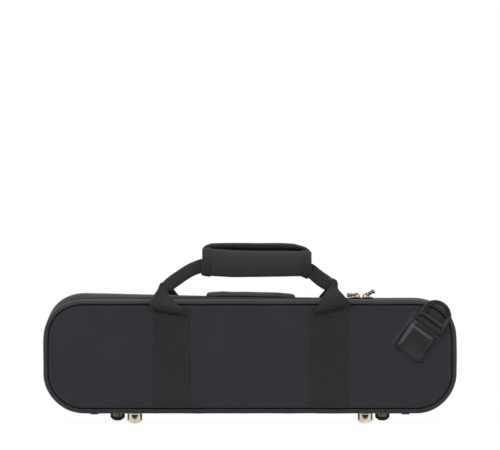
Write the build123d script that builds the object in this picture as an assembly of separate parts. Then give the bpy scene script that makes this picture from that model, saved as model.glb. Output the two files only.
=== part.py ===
from build123d import *
from math import cos, radians, sin
import os

# Zipped flute case, in millimetres. X runs along the case, Y from front (-) to back (+) and
# Z up from the tips of the feet. The front half is the lid. It hinges along the bottom edge.

# ---- driving dimensions: the padded box
case_length = 428.0
case_height = 118.2
case_depth = 66.0
lid_depth = 24.0
corner_radius = 42.0
edge_radius = 6.5
cover_thickness = 1.5
padding_thickness = 3.0
shell_thickness = 4.0
layer_gap = 0.1
parting_gap = 0.3
panel_seam_inset = 6.0
panel_seam_gap = 0.4

# ---- zip
zip_half_width = 5.0
tape_thickness = 0.8
coil_width = 2.5
coil_proud = 0.7
coil_parting_gap = 0.1
spine_thickness = 1.2
zip_end_past_corner = 9.0
end_tab_size = (10.0, 5.0, 1.8)
end_tab_from_parting = 1.2

# ---- inside
insert_clearance = 0.3
insert_below_parting = 4.0
lid_pad_thickness = 10.0
recess_end_wall = 17.0
recess_depth = 24.0
body_recess_width = 34.0
body_recess_drop = 11.0
lower_row_rise = 24.2
head_recess_width = 26.0
lip_recess_width = 38.0
lip_recess_length = 48.0
lip_recess_from_end = 42.0
foot_recess_length = 140.0
recess_divider = 12.0

# ---- feet
foot_height = 11.0
foot_diameter = 16.0
foot_cone_height = 2.0
foot_tip_diameter = 5.0
foot_from_face = 14.0
front_foot_from_end = 94.0
rear_foot_from_end = 74.0
stud_diameter = 4.0
stud_clearance = 0.1
nut_barrel_diameter = 6.0
nut_flange_diameter = 9.6
nut_flange_thickness = 1.2

# ---- webbing and carrying handle
strap_width = 38.0
strap_thickness = 1.5
strap_centre_x = 81.8
strap_top_below_case = 12.0
bend_gap = 0.3
rolled_width = 13.2
rolled_thickness = 4.0
fold_low_rise = 6.5
fold_low_width = 30.0
fold_low_outward = 5.0
fold_low_turn = 4.0
fold_low_proud = 1.7
fold_high_rise = 14.0
fold_high_width = 22.0
fold_high_outward = 7.0
fold_high_turn = 14.0
fold_high_back = 1.4
knuckle_width = 15.0
knuckle_outward = 4.0
knuckle_turn = 32.0
knuckle_above_case = 13.8
knuckle_from_face = 9.5
mid_strap_turn = 57.0
left_strap_bow = 2.4
right_strap_bow = -0.8
grip_centre_x = 6.8
grip_length = 115.0
grip_height = 28.5
grip_above_case = 21.8
grip_wall = 6.0
grip_floor = 3.0
grip_return_height = 7.0
grip_centre_gap = 1.8
grip_roundness = 5.0
strap_in_grip_gap = 0.3
strap_in_grip_y = 4.6
strap_in_grip_rise = 12.4
strap_in_grip_fall = 2.4
lip_rise = 7.5
lip_thickness = 3.6
lip_past_centre = 6.0
fastener_gap = 0.3
fastener_end_margin = 14.0

# ---- low strip on the top edge
strip_length = 93.0
strip_centre_x = 0.8
strip_width = 21.0
strip_thickness = 5.6
strip_arch = 0.8
strip_seat_length = 14.0
strip_ramp_length = 10.0
strip_end_thickness = 4.6
strip_from_zip = 1.0

# ---- leather patch, webbing tab and strap loop
patch_width = 36.2
patch_length = 36.8
patch_thickness = 3.4
patch_corner_radius = 3.0
patch_from_end = 42.4
patch_below_top = 43.3
patch_turn = 34.9
tab_width = 25.0
tab_tail_length = 12.0
loop_offset = 2.6
loop_width = 32.0
loop_height = 30.0
loop_thickness = 3.5
loop_ring = 4.6
loop_middle_bar = 4.3
loop_foot = 3.5
loop_bar_thickness = 3.0
loop_slot = 2.6
loop_slot_clearance = 0.5
tab_clearance = 0.3
tab_webbing = 1.2

# ---- zip sliders and pulls
slider_length = 10.0
slider_plate = 1.8
slider_gap = 0.15
left_slider_from_end = 102.8
right_slider_from_end = 92.4
crown_length = 4.2
crown_width = 2.2
crown_height = 3.2
pull_bar_diameter = 1.4
pull_bar_rise = 1.5
pull_bar_clearance = 0.3
pull_width = 5.4
pull_arm = 1.3
pull_length = 9.5
pull_window = 3.6
pull_thickness = 2.6
right_pull_raise = 28.0

# ---- planes and levels worked out from them
front_y = -case_depth / 2
back_y = case_depth / 2
parting_y = front_y + lid_depth
base_z = foot_height
top_z = base_z + case_height
centre_z = base_z + case_height / 2
end_x = case_length / 2
zip_end_x = end_x - corner_radius - zip_end_past_corner
padding_inset = cover_thickness + layer_gap
shell_inset = padding_inset + padding_thickness + layer_gap
cavity_inset = shell_inset + shell_thickness
insert_inset = cavity_inset + insert_clearance
strap_y = back_y + layer_gap + strap_thickness / 2
strap_top_z = top_z - strap_top_below_case
grip_bottom_z = top_z + grip_above_case
grip_top_z = grip_bottom_z + grip_height
grip_outer_y = strap_in_grip_y + rolled_thickness / 2 + strap_in_grip_gap + grip_wall
FRONT = -1
REAR = 1


def face_plane(y):
    """Plane seen from the front: local x is X, local y is Z, and it extrudes towards -Y."""
    return Plane((0, y, 0), x_dir=(1, 0, 0), z_dir=(0, -1, 0))


def slab(sketch, y_from, y_to):
    low, high = sorted((y_from, y_to))
    return extrude(face_plane(high) * sketch, high - low)


def outline(inset):
    shape = RectangleRounded(case_length - 2 * inset, case_height - 2 * inset, corner_radius - inset)
    return Pos(0, centre_z) * shape


def block(x_from, x_to, y_from, y_to, z_from, z_to):
    size = (x_to - x_from, y_to - y_from, z_to - z_from)
    centre = ((x_from + x_to) / 2, (y_from + y_to) / 2, (z_from + z_to) / 2)
    return Pos(*centre) * Box(*size)


def half_block(side, inset, opening):
    """Solid half case, inset all round, whose open face lies that far from the parting plane."""
    closed_y = side * (back_y - inset)
    solid = slab(outline(inset), parting_y + side * opening, closed_y)
    radius = edge_radius - inset
    if radius > layer_gap:
        edges = solid.edges().filter_by_position(Axis.Y, closed_y - layer_gap, closed_y + layer_gap)
        solid = fillet(edges, radius)
    return solid


def half_cup(side, inset, wall, opening):
    return half_block(side, inset, opening) - half_block(side, inset + wall, opening - wall)


def edge_ring(outer_inset, inner_inset, side, y_near, y_far):
    sketch = outline(outer_inset) - outline(inner_inset)
    return slab(sketch, parting_y + side * y_near, parting_y + side * y_far)


def folded_edge(side, thickness):
    """Strip of fabric between the band and the parting plane, flush with the band's inside."""
    far = zip_half_width - layer_gap
    return edge_ring(cover_thickness - thickness, cover_thickness, side, coil_parting_gap, far)


def hinge_stretch(margin):
    """Box round the part of the bottom edge that the zip leaves out."""
    reach = zip_end_x - margin
    return block(-reach, reach, front_y, back_y, base_z - foot_height, centre_z)


def foot_places(side):
    x = end_x - (front_foot_from_end if side == FRONT else rear_foot_from_end)
    y = side * (back_y - foot_from_face)
    return [(-x, y), (x, y)]


def drill_for_feet(solid, side, diameter, z_from, z_to):
    for x, y in foot_places(side):
        hole = Cylinder(diameter / 2, z_to - z_from, align=(Align.CENTER, Align.CENTER, Align.MIN))
        solid -= Pos(x, y, z_from) * hole
    return solid


def band(side):
    cup = half_cup(side, 0, cover_thickness, zip_half_width)
    seam = outline(panel_seam_inset - panel_seam_gap / 2)
    closed_y = side * back_y
    cup -= slab(seam, closed_y - side * 2 * cover_thickness, closed_y + side * cover_thickness)
    hole = stud_diameter + 2 * stud_clearance
    return drill_for_feet(cup, side, hole, base_z - cover_thickness, base_z + 2 * cover_thickness)


def panel(side):
    sketch = outline(panel_seam_inset + panel_seam_gap / 2)
    return slab(sketch, side * (back_y - cover_thickness), side * back_y)


def padding(side):
    cup = half_cup(side, padding_inset, padding_thickness, parting_gap)
    hole = stud_diameter + 2 * stud_clearance
    return drill_for_feet(cup, side, hole, base_z, base_z + shell_inset + layer_gap)


def shell(side):
    cup = half_cup(side, shell_inset, shell_thickness, parting_gap)
    barrel = nut_barrel_diameter + 2 * stud_clearance
    flange = nut_flange_diameter + 2 * stud_clearance
    inner_z = base_z + cavity_inset
    cup = drill_for_feet(cup, side, barrel, base_z, inner_z + 1)
    seat_z = inner_z - nut_flange_thickness - stud_clearance
    return drill_for_feet(cup, side, flange, seat_z, inner_z + 1)


def foot(x, y):
    standing = (Align.CENTER, Align.CENTER, Align.MIN)
    cone = Cone(foot_tip_diameter / 2, foot_diameter / 2, foot_cone_height, align=standing)
    drum = Cylinder(foot_diameter / 2, foot_height - foot_cone_height, align=standing)
    stud = Cylinder(stud_diameter / 2, cavity_inset, align=standing)
    solid = cone + Pos(0, 0, foot_cone_height) * drum + Pos(0, 0, foot_height) * stud
    return Pos(x, y, 0) * solid


def foot_nuts(side):
    """Flanged nuts let into the wooden shell from inside, one over each foot."""
    standing = (Align.CENTER, Align.CENTER, Align.MIN)
    inner_z = base_z + cavity_inset
    flange_z = inner_z - nut_flange_thickness
    barrel_length = shell_thickness - nut_flange_thickness
    nut = Pos(0, 0, flange_z) * Cylinder(nut_flange_diameter / 2, nut_flange_thickness, align=standing)
    nut += Pos(0, 0, flange_z - barrel_length) * Cylinder(
        nut_barrel_diameter / 2, barrel_length, align=standing
    )
    bore = Cylinder(stud_diameter / 2 + stud_clearance, 2 * shell_thickness, align=standing)
    nut -= Pos(0, 0, inner_z - shell_thickness - 1) * bore
    return [Pos(x, y, 0) * nut for x, y in foot_places(side)]


def zip_tape(side):
    return folded_edge(side, tape_thickness) - hinge_stretch(0)


def zip_coil(side):
    under = cover_thickness - tape_thickness - layer_gap
    ring = edge_ring(-coil_proud, under, side, coil_parting_gap, coil_parting_gap + coil_width)
    return ring - hinge_stretch(0)


def spine(side):
    """Half of the fabric strip that joins the two halves along the bottom."""
    return folded_edge(side, spine_thickness) & hinge_stretch(layer_gap)


def zip_end_tabs():
    length, width, thickness = end_tab_size
    tabs = []
    for sign in (-1, 1):
        low, high = sorted((sign * (zip_end_x - length / 2), sign * (zip_end_x + length / 2)))
        top = base_z - coil_proud - layer_gap
        near_y = parting_y + end_tab_from_parting
        tabs.append(block(low, high, near_y, near_y + width, top - thickness, top))
    return tabs


def trough(x_from, x_to, z, width, depth):
    """U-shaped recess with a round floor, open towards the lid."""
    face_y = parting_y + insert_below_parting
    axis_y = face_y + depth - width / 2
    length = x_to - x_from
    floor = Pos((x_from + x_to) / 2, axis_y, z) * Rot(0, 90, 0) * Cylinder(width / 2, length)
    return floor + block(x_from, x_to, face_y - 1, axis_y, z - width / 2, z + width / 2)


def insert():
    """Plush-covered block with a long recess above and two shorter ones end to end below."""
    face_y = parting_y + insert_below_parting
    solid = slab(outline(insert_inset), face_y, back_y - cavity_inset - layer_gap)
    reach = end_x - insert_inset - recess_end_wall
    upper_z = top_z - insert_inset - body_recess_drop - body_recess_width / 2
    lower_z = base_z + lower_row_rise + insert_inset
    solid -= trough(-reach, reach, upper_z, body_recess_width, recess_depth)
    foot_start = reach - foot_recess_length
    head_end = foot_start - recess_divider
    solid -= trough(foot_start, reach - layer_gap, lower_z, body_recess_width, recess_depth)
    solid -= trough(-reach, head_end, lower_z, head_recess_width, recess_depth)
    lip_start = lip_recess_from_end - reach
    solid -= trough(
        lip_start, lip_start + lip_recess_length, lower_z, lip_recess_width, recess_depth - layer_gap
    )
    return solid


def lid_pad():
    closed_y = front_y + cavity_inset + layer_gap
    return slab(outline(insert_inset), closed_y, closed_y + lid_pad_thickness)


def panel_strap(sign):
    """Webbing sewn flat on the front panel."""
    x = sign * strap_centre_x
    low_z = base_z + panel_seam_inset - panel_seam_gap
    return block(
        x - strap_width / 2,
        x + strap_width / 2,
        -strap_y - strap_thickness / 2,
        -strap_y + strap_thickness / 2,
        low_z,
        strap_top_z,
    )


def strap_section(x, y, z, width, thickness, turn):
    """Cross-section of the webbing. Turn is the angle of its width above +X, in degrees."""
    across = (cos(radians(turn)), 0, sin(radians(turn)))
    normal = (-sin(radians(turn)), 0, cos(radians(turn)))
    plane = Plane((x, y, z), x_dir=across, z_dir=normal)
    return plane * Rectangle(width, thickness)


def fold_sections(sign):
    """Webbing on one side of the handle, from its panel strap up to the grip's end."""
    grip_end_x = grip_centre_x + sign * grip_length / 2
    grip_end_z = grip_bottom_z + strap_in_grip_rise - (strap_in_grip_fall if sign > 0 else 0)
    knuckle_x = sign * (strap_centre_x + knuckle_outward)
    knuckle_y = back_y - knuckle_from_face
    knuckle_z = top_z + knuckle_above_case
    bow = right_strap_bow if sign > 0 else left_strap_bow
    low_z = strap_top_z + bend_gap
    low_x = sign * (strap_centre_x + fold_low_outward)
    high_x = sign * (strap_centre_x + fold_high_outward)
    folded = (strap_thickness + rolled_thickness) / 2
    mid_y = (knuckle_y + strap_in_grip_y) / 2
    mid_z = (knuckle_z + grip_end_z) / 2 + bow
    rows = [
        (sign * strap_centre_x, strap_y, low_z, strap_width, strap_thickness, 0),
        (low_x, strap_y + fold_low_proud, low_z + fold_low_rise, fold_low_width, folded, fold_low_turn),
        (high_x, strap_y - fold_high_back, low_z + fold_high_rise, fold_high_width, folded, fold_high_turn),
        (knuckle_x, knuckle_y, knuckle_z, knuckle_width, rolled_thickness, knuckle_turn),
        ((knuckle_x + grip_end_x) / 2, mid_y, mid_z, rolled_width, rolled_thickness, mid_strap_turn),
        (grip_end_x, strap_in_grip_y, grip_end_z, rolled_width, rolled_thickness, 90),
    ]
    sections = []
    for x, y, z, width, thickness, turn in rows:
        along_strap = turn - 180 if sign > 0 else -turn
        sections.append(strap_section(x, -y, z, width, thickness, along_strap))
    return sections


def handle_strap():
    """One length of webbing: folds over at each panel strap, rolls and runs through the grip."""
    return loft(fold_sections(-1) + fold_sections(1)[::-1], ruled=True)


def grip_slab(sketch_yz):
    plane = Plane((grip_centre_x - grip_length / 2, 0, 0), x_dir=(0, 1, 0), z_dir=(1, 0, 0))
    return extrude(plane * sketch_yz, grip_length)


def yz_rectangle(y_from, y_to, z_from, z_to):
    return Pos((y_from + y_to) / 2, (z_from + z_to) / 2) * Rectangle(y_to - y_from, z_to - z_from)


def grip_section(top_z_of_wall):
    """Half of the padded wrap: outer wall, floor under the strap and a return above it."""
    outer = yz_rectangle(-grip_outer_y, -grip_centre_gap / 2, grip_bottom_z, top_z_of_wall)
    corners = outer.vertices().filter_by_position(Axis.X, -grip_outer_y - 1, -grip_outer_y + 1)
    outer = fillet(corners, grip_roundness)
    inner_y = -grip_outer_y + grip_wall
    hollow = yz_rectangle(
        inner_y, 0, grip_bottom_z + grip_floor, grip_top_z - grip_return_height
    )
    return outer - hollow


def front_grip():
    return grip_slab(grip_section(grip_top_z))


def rear_grip():
    """The rear half of the wrap stands higher and its upper edge curls over the front half."""
    tall_z = grip_top_z + lip_rise
    section = mirror(grip_section(tall_z), Plane.YZ)
    lip = yz_rectangle(-lip_past_centre, grip_centre_gap, tall_z - lip_thickness, tall_z)
    front_corners = lip.vertices().filter_by_position(Axis.X, -lip_past_centre - 1, -lip_past_centre + 1)
    lip = fillet(front_corners, lip_thickness / 3)
    return grip_slab(section + lip)


def grip_fastener(side):
    """Hook or loop tape on the meeting edge of one half of the wrap."""
    x_low = grip_centre_x - grip_length / 2 + fastener_end_margin
    x_high = grip_centre_x + grip_length / 2 - fastener_end_margin
    near = fastener_gap / 2
    far = grip_centre_gap / 2 - layer_gap
    low_y, high_y = sorted((side * near, side * far))
    return block(x_low, x_high, low_y, high_y, grip_top_z - grip_return_height, grip_top_z - 1)


def top_strip():
    """Low padded strip whose two ends are sewn down on the rear half's top edge."""
    half = strip_length / 2
    seat_z = top_z + layer_gap
    arch_z = seat_z + strip_arch
    flat = half - strip_seat_length
    raised = flat - strip_ramp_length
    end_z = seat_z + strip_end_thickness
    under = Polyline(
        (-half, end_z),
        (-half, seat_z),
        (-flat, seat_z),
        (-raised, arch_z),
        (raised, arch_z),
        (flat, seat_z),
        (half, seat_z),
        (half, end_z),
    )
    over = ThreePointArc((half, end_z), (0, arch_z + strip_thickness), (-half, end_z))
    section = make_face(under + over)
    y_low = parting_y + zip_half_width + strip_from_zip
    return slab(Pos(strip_centre_x, 0) * section, y_low, y_low + strip_width)


def patch_plane():
    """Plane on the front panel, turned with the patch: local x across it, local y along it."""
    turn = radians(patch_turn)
    return Plane(
        (end_x - patch_from_end, front_y - layer_gap, top_z - patch_below_top),
        x_dir=(cos(turn), 0, -sin(turn)),
        z_dir=(0, -1, 0),
    )


def tab_lift():
    """Height of the loop's bar over the panel, for a webbing tab wrapped round it."""
    return loop_bar_thickness / 2 + tab_clearance + tab_webbing


def bar_along():
    """Distance of the loop's bar past the patch's upper edge."""
    return patch_length / 2 + tab_lift() + 2 * layer_gap


def patch():
    tail_thickness = 2 * tab_webbing
    plate = extrude(RectangleRounded(patch_width, patch_length, patch_corner_radius), patch_thickness)
    pocket = Pos(loop_offset, patch_length / 2 - tab_tail_length / 2, tail_thickness / 2) * Box(
        tab_width + 2 * layer_gap, tab_tail_length + 2 * layer_gap, tail_thickness + 2 * layer_gap
    )
    return patch_plane() * (plate - pocket)


def tab():
    """Webbing doubled round the loop's bar, with both tails under the patch."""
    lift = tab_lift()
    bar_y = bar_along()
    inner = loop_bar_thickness / 2 + tab_clearance
    outer = inner + tab_webbing
    section_plane = Plane((loop_offset - tab_width / 2, 0, 0), x_dir=(0, 1, 0), z_dir=(1, 0, 0))
    ring = Pos(bar_y, lift) * Circle(outer)
    tail_start = patch_length / 2 - tab_tail_length
    tail = Pos((tail_start + bar_y) / 2, tab_webbing) * Rectangle(bar_y - tail_start, 2 * tab_webbing)
    section = ring + tail - Pos(bar_y, lift) * Circle(inner)
    return patch_plane() * extrude(section_plane * section, tab_width)


def loop():
    """Plastic strap loop: a bar for the tab, a slot, a middle bar and a D-shaped eye."""
    lift = tab_lift()
    bar_y = bar_along()
    half = loop_width / 2
    low = bar_y - loop_foot / 2
    high = low + loop_height
    shoulder = high - half * 0.72
    outer = make_face(
        Polyline((-half, shoulder), (-half, low), (half, low), (half, shoulder))
        + ThreePointArc((half, shoulder), (0, high), (-half, shoulder))
    )
    slot_width = tab_width + 2 * loop_slot_clearance
    slot_low = bar_y + loop_bar_thickness / 2
    slot_high = slot_low + loop_slot
    slot = Pos(0, (slot_low + slot_high) / 2) * Rectangle(slot_width, loop_slot)
    eye_low = slot_high + loop_middle_bar
    eye_half = half - loop_ring
    eye_high = high - loop_ring
    eye = make_face(
        Polyline((-eye_half, shoulder), (-eye_half, eye_low), (eye_half, eye_low), (eye_half, shoulder))
        + ThreePointArc((eye_half, shoulder), (0, eye_high), (-eye_half, shoulder))
    )
    frame = Pos(0, 0, lift - loop_thickness / 2) * extrude(outer - slot - eye, loop_thickness)
    bar_zone = Pos(0, slot_low - loop_foot, lift) * Box(slot_width, 2 * loop_foot, 2 * loop_thickness)
    bar = Pos(0, bar_y, lift) * Rot(0, 90, 0) * Cylinder(loop_bar_thickness / 2, slot_width)
    return patch_plane() * (Pos(loop_offset, 0, 0) * (frame - bar_zone + bar))


def slider_place(sign):
    """Centre of a zip slider, on top of the coil: the left one for -1, the right one for 1."""
    from_end = right_slider_from_end if sign > 0 else left_slider_from_end
    return (end_x - from_end, parting_y, top_z + coil_proud + slider_gap)


def slider(sign):
    """Plate over the coil with a crown for the pull, and a flange down its rear side."""
    x, y, z = slider_place(sign)
    half = zip_half_width - 0.6
    plate = extrude(RectangleRounded(slider_length, 2 * half, 1.6), slider_plate)
    flange_low = -coil_proud - slider_gap + 0.2 - tape_thickness / 2
    flange = block(-slider_length / 2 + 1, slider_length / 2 - 1, half - 1, half, flange_low, 0)
    crown = Pos(0, 0, slider_plate + crown_height / 2) * Box(crown_length, crown_width, crown_height)
    hole = pull_bar_diameter / 2 + pull_bar_clearance
    crown -= Pos(0, 0, slider_plate + pull_bar_rise) * Rot(90, 0, 0) * Cylinder(hole, pull_width)
    return Pos(x, y, z) * (plate + flange + crown)


def pull(sign):
    """Pull tab with a window for the crown and a bar that turns in it."""
    x, y, z = slider_place(sign)
    bar = Rot(90, 0, 0) * Cylinder(pull_bar_diameter / 2, pull_width)
    window_end = crown_length / 2 + pull_window - 1
    blade = block(0, pull_length, -pull_width / 2, pull_width / 2, -pull_thickness / 2, pull_thickness / 2)
    inner = pull_width / 2 - pull_arm
    blade -= block(-1, window_end, -inner, inner, -pull_thickness, pull_thickness)
    solid = bar + blade
    turn = -right_pull_raise if sign > 0 else 180
    rise = slider_plate + pull_bar_rise
    return Pos(x, y, z + rise) * Rot(0, turn, 0) * solid


def opposite(solid):
    """The same piece on the back, turned half round about the vertical axis."""
    return Rot(0, 0, 180) * solid


def mirrored(solid):
    return mirror(solid, Plane.XZ)


def build():
    parts = {}
    for side, word, body_word in ((FRONT, "front", "lid"), (REAR, "rear", "base")):
        parts[f"{body_word}_shell"] = shell(side)
        parts[f"{body_word}_padding"] = padding(side)
        parts[f"{word}_band"] = band(side)
        parts[f"{word}_panel"] = panel(side)
        parts[f"{word}_zip_tape"] = zip_tape(side)
        parts[f"{word}_zip_coil"] = zip_coil(side)
        parts[f"{word}_spine"] = spine(side)
        parts[f"{word}_foot_nuts"] = foot_nuts(side)
        for (x, y), hand in zip(foot_places(side), ("left", "right")):
            parts[f"{word}_{hand}_foot"] = foot(x, y)
        parts[f"{word}_grip_fastener"] = grip_fastener(side)
    for sign, hand in ((-1, "left"), (1, "right")):
        parts[f"front_{hand}_strap"] = panel_strap(sign)
        parts[f"rear_{hand}_strap"] = mirrored(panel_strap(sign))
        parts[f"{hand}_zip_slider"] = slider(sign)
        parts[f"{hand}_zip_pull"] = pull(sign)
    parts["joint_insert"] = insert()
    parts["lid_pad"] = lid_pad()
    parts["zip_end_tabs"] = zip_end_tabs()
    parts["top_strip"] = top_strip()
    parts["front_handle_strap"] = handle_strap()
    parts["rear_handle_strap"] = mirrored(handle_strap())
    parts["front_grip"] = front_grip()
    parts["rear_grip"] = rear_grip()
    parts["front_patch"] = patch()
    parts["rear_patch"] = opposite(patch())
    parts["front_tab"] = tab()
    parts["rear_tab"] = opposite(tab())
    parts["front_loop"] = loop()
    parts["rear_loop"] = opposite(loop())
    return parts


def solids_in(item):
    pieces = item if isinstance(item, list) else [item]
    return [solid for piece in pieces for solid in piece.solids()]


os.makedirs("parts", exist_ok=True)
for name, item in build().items():
    solids = solids_in(item)
    shape = solids[0] if len(solids) == 1 else Compound(children=solids)
    export_step(shape, f"parts/{name}.step")
    print(name, len(solids), round(sum(solid.volume for solid in solids)))
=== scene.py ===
import math

import bmesh
import bpy
import numpy as np
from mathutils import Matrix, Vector

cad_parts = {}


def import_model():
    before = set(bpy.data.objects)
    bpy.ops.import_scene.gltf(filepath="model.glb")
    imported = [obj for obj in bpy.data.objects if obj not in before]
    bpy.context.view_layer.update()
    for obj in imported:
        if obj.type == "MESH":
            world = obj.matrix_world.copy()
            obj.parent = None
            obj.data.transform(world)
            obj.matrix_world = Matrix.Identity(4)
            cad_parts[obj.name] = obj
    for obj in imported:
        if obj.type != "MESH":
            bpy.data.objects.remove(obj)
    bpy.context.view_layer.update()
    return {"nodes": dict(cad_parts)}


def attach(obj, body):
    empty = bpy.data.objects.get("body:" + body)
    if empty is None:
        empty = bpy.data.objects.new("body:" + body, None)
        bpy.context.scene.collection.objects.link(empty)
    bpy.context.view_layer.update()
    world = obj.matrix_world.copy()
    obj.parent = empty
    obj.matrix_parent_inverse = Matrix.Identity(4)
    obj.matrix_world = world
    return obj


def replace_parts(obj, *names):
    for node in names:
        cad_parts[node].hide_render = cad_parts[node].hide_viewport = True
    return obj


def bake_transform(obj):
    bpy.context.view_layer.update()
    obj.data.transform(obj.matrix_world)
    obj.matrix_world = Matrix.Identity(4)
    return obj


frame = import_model()

# Lengths are millimetres until a mesh is made. X runs along the case, Y from the lid to the
# back and Z up from the tips of the feet.
MM = 0.001
TAU = 2 * math.pi

# ---- the padded box, as the frame has it
END_X = 214.0
BASE_Z, TOP_Z = 11.0, 129.2
CENTRE_Z, HALF_HEIGHT = (BASE_Z + TOP_Z) / 2, 59.0
FACE_Y = 33.0
CORNER, EDGE = 42.0, 6.5
STRAIGHT_X = END_X - CORNER
PARTING_Y = -9.0
FRONT, REAR = -1, 1
DEPTH = {FRONT: 24.0, REAR: 42.0}
ZIP_END_X = 163.0
STRAP_X, STRAP_WIDTH = 81.8, 38.0
SIDES = ((FRONT, "front", "lid"), (REAR, "rear", "base"))
HANDS = ((-1, "left"), (1, "right"))


# ---- numbers and curves
RIPPLE_WAVES, RIPPLE_PITCH, RIPPLE_SIZE = 5, (0.7, 1.6), 3.2
TINY = 1e-9


def smooth(value, low, high):
    t = np.clip((np.asarray(value, float) - low) / (high - low), 0, 1)
    return t * t * (3 - 2 * t)


def bell(value, width):
    return np.exp(-((value / width) ** 2))


def rounded_edge(t, power):
    """1 in the middle, falling to 0 where t is -1 or 1."""
    return np.sqrt(np.clip(1 - np.abs(t) ** power, 0, 1))


def unit(v):
    return v / np.linalg.norm(v, axis=-1, keepdims=True)


def xyz(x, y, z):
    return np.stack(np.broadcast_arrays(x, y, z), -1)


def ripple(a, b, scale, seed):
    """Soft, repeatable unevenness between about -1 and 1."""
    rng = np.random.default_rng(seed)
    total = 0
    for _ in range(RIPPLE_WAVES):
        angle, phase = rng.uniform(0, TAU, 2)
        pitch = scale * rng.uniform(*RIPPLE_PITCH)
        total = total + np.sin((a * math.cos(angle) + b * math.sin(angle)) * TAU / pitch + phase)
    return total / RIPPLE_SIZE


def through(points, count):
    """Points on a smooth curve through the given ones."""
    p = np.asarray(points, float)
    ends = np.vstack([2 * p[0] - p[1], p, 2 * p[-1] - p[-2]])
    t = np.linspace(0, len(p) - 1, count)
    k = np.minimum(t.astype(int), len(p) - 2)
    f = (t - k)[:, None]
    a, b, c, d = ends[k], ends[k + 1], ends[k + 2], ends[k + 3]
    bend = (2 * a - 5 * b + 4 * c - d) * f**2 + (3 * b - a - 3 * c + d) * f**3
    return 0.5 * (2 * b + (c - a) * f + bend)


def run(values, count):
    """The same for single values, as a column."""
    return through(np.stack([values, values], 1), count)[:, :1]


def lengths(p):
    step = np.linalg.norm(np.diff(p, axis=0), axis=-1)
    if step.ndim > 1:
        step = step.mean(axis=1)
    return np.concatenate([[0], np.cumsum(step)])


# ---- meshes
def show(name, data):
    obj = bpy.data.objects.new(name, data)
    bpy.context.scene.collection.objects.link(obj)
    return obj


def face_outwards(mesh):
    """Turns the faces of a closed mesh outwards. An open sheet stays as it is."""
    work = bmesh.new()
    work.from_mesh(mesh)
    if not any(edge.is_boundary for edge in work.edges):
        bmesh.ops.recalc_face_normals(work, faces=work.faces)
        work.to_mesh(mesh)
    work.free()


def add(name, verts, faces, uvs, body, mat, slot):
    """Object with a material; its slot argument is not used. It rides on a body unless that is None."""
    mesh = bpy.data.meshes.new(name)
    mesh.from_pydata((np.asarray(verts) * MM).tolist(), [], faces)
    if uvs is not None:
        layer = mesh.uv_layers.new(name="UVMap")
        layer.data.foreach_set("uv", (np.asarray(uvs) * MM).astype(np.float32).ravel())
    mesh.validate()
    face_outwards(mesh)
    obj = show(name, mesh)
    mesh.shade_smooth()
    mesh.materials.append(mat)
    if body:
        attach(obj, body)
    return obj


def lattice(points, wrap_i=False, wrap_j=False, caps=False):
    """Faces and UVs through a grid of points. The UVs run in millimetres along both ways."""
    p = np.asarray(points, float)
    n, m = p.shape[:2]
    rows, columns = np.arange(n if wrap_i else n - 1), np.arange(m if wrap_j else m - 1)
    ii, jj = np.meshgrid(rows, columns, indexing="ij")
    quad = [(0, 0), (1, 0), (1, 1), (0, 1)]
    faces = np.stack([((ii + a) % n) * m + (jj + b) % m for a, b in quad], -1).reshape(-1, 4)
    u = lengths(np.concatenate([p, p[:1]]) if wrap_i else p)
    v = lengths(np.swapaxes(np.concatenate([p, p[:, :1]], 1) if wrap_j else p, 0, 1))
    uvs = np.stack([np.stack([u[ii + a], v[jj + b]], -1) for a, b in quad], 2).reshape(-1, 2)
    faces, uvs = faces.tolist(), uvs.tolist()
    if caps:
        for row in (0, n - 1):
            ring = list(range(row * m, row * m + m))
            faces.append(ring if row == 0 else ring[::-1])
            uvs += [[float(u[row]), float(v[k])] for k in range(m)]
    return p.reshape(-1, 3), faces, uvs


def merge(grids):
    """Closed grids, each wrapped round its rows and capped at its ends, as one mesh."""
    verts, faces, uvs, start = [], [], [], 0
    for grid in grids:
        v, f, w = lattice(grid, wrap_j=True, caps=True)
        verts.append(v)
        faces += [[k + start for k in face] for face in f]
        uvs += w
        start += len(v)
    return np.concatenate(verts), faces, uvs


def skin(name, points, body, mat, slot, **wraps):
    return add(name, *lattice(points, **wraps), body, mat, slot)


def solids(name, grids, body, mat, slot):
    return add(name, *merge(grids), body, mat, slot)


def solid(name, grid, body, mat, slot):
    return solids(name, [grid], body, mat, slot)


def weld(obj, distance=0.00002):
    mesh = bmesh.new()
    mesh.from_mesh(obj.data)
    bmesh.ops.remove_doubles(mesh, verts=mesh.verts, dist=distance)
    bmesh.ops.recalc_face_normals(mesh, faces=mesh.faces)
    mesh.to_mesh(obj.data)
    mesh.free()


def inward(obj, side):
    """Offset that puts a sheet's thickness on the side away from the viewer."""
    mean = np.mean([face.normal.y for face in obj.data.polygons])
    return -1.0 if mean * side > 0 else 1.0


def thicken(obj, thickness, offset=0.0):
    modifier = obj.modifiers.new("thickness", "SOLIDIFY")
    modifier.thickness = thickness * MM
    modifier.offset = offset


# ---- forms
RIB_PITCH, RIB, POINTS_PER_RIB = 1.9, 0.13, 4


def sweep(path, section, up):
    """Carries a flat section, or one for each point, along a path. Its second axis is along up."""
    p, s = np.asarray(path, float), np.asarray(section, float)
    t = np.gradient(p, axis=0)
    side = unit(np.cross(t, up))
    top = unit(np.cross(side, t))
    return p[:, None] + side[:, None] * s[..., :1] + top[:, None] * s[..., 1:]


def oval(width, height, count=24, power=2.0):
    a = np.arange(count) * TAU / count
    c, s = np.cos(a), np.sin(a)
    flat = 2 / power
    x, y = np.sign(c) * np.abs(c) ** flat, np.sign(s) * np.abs(s) ** flat
    return np.stack([x * width / 2, y * height / 2], 1)


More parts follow.
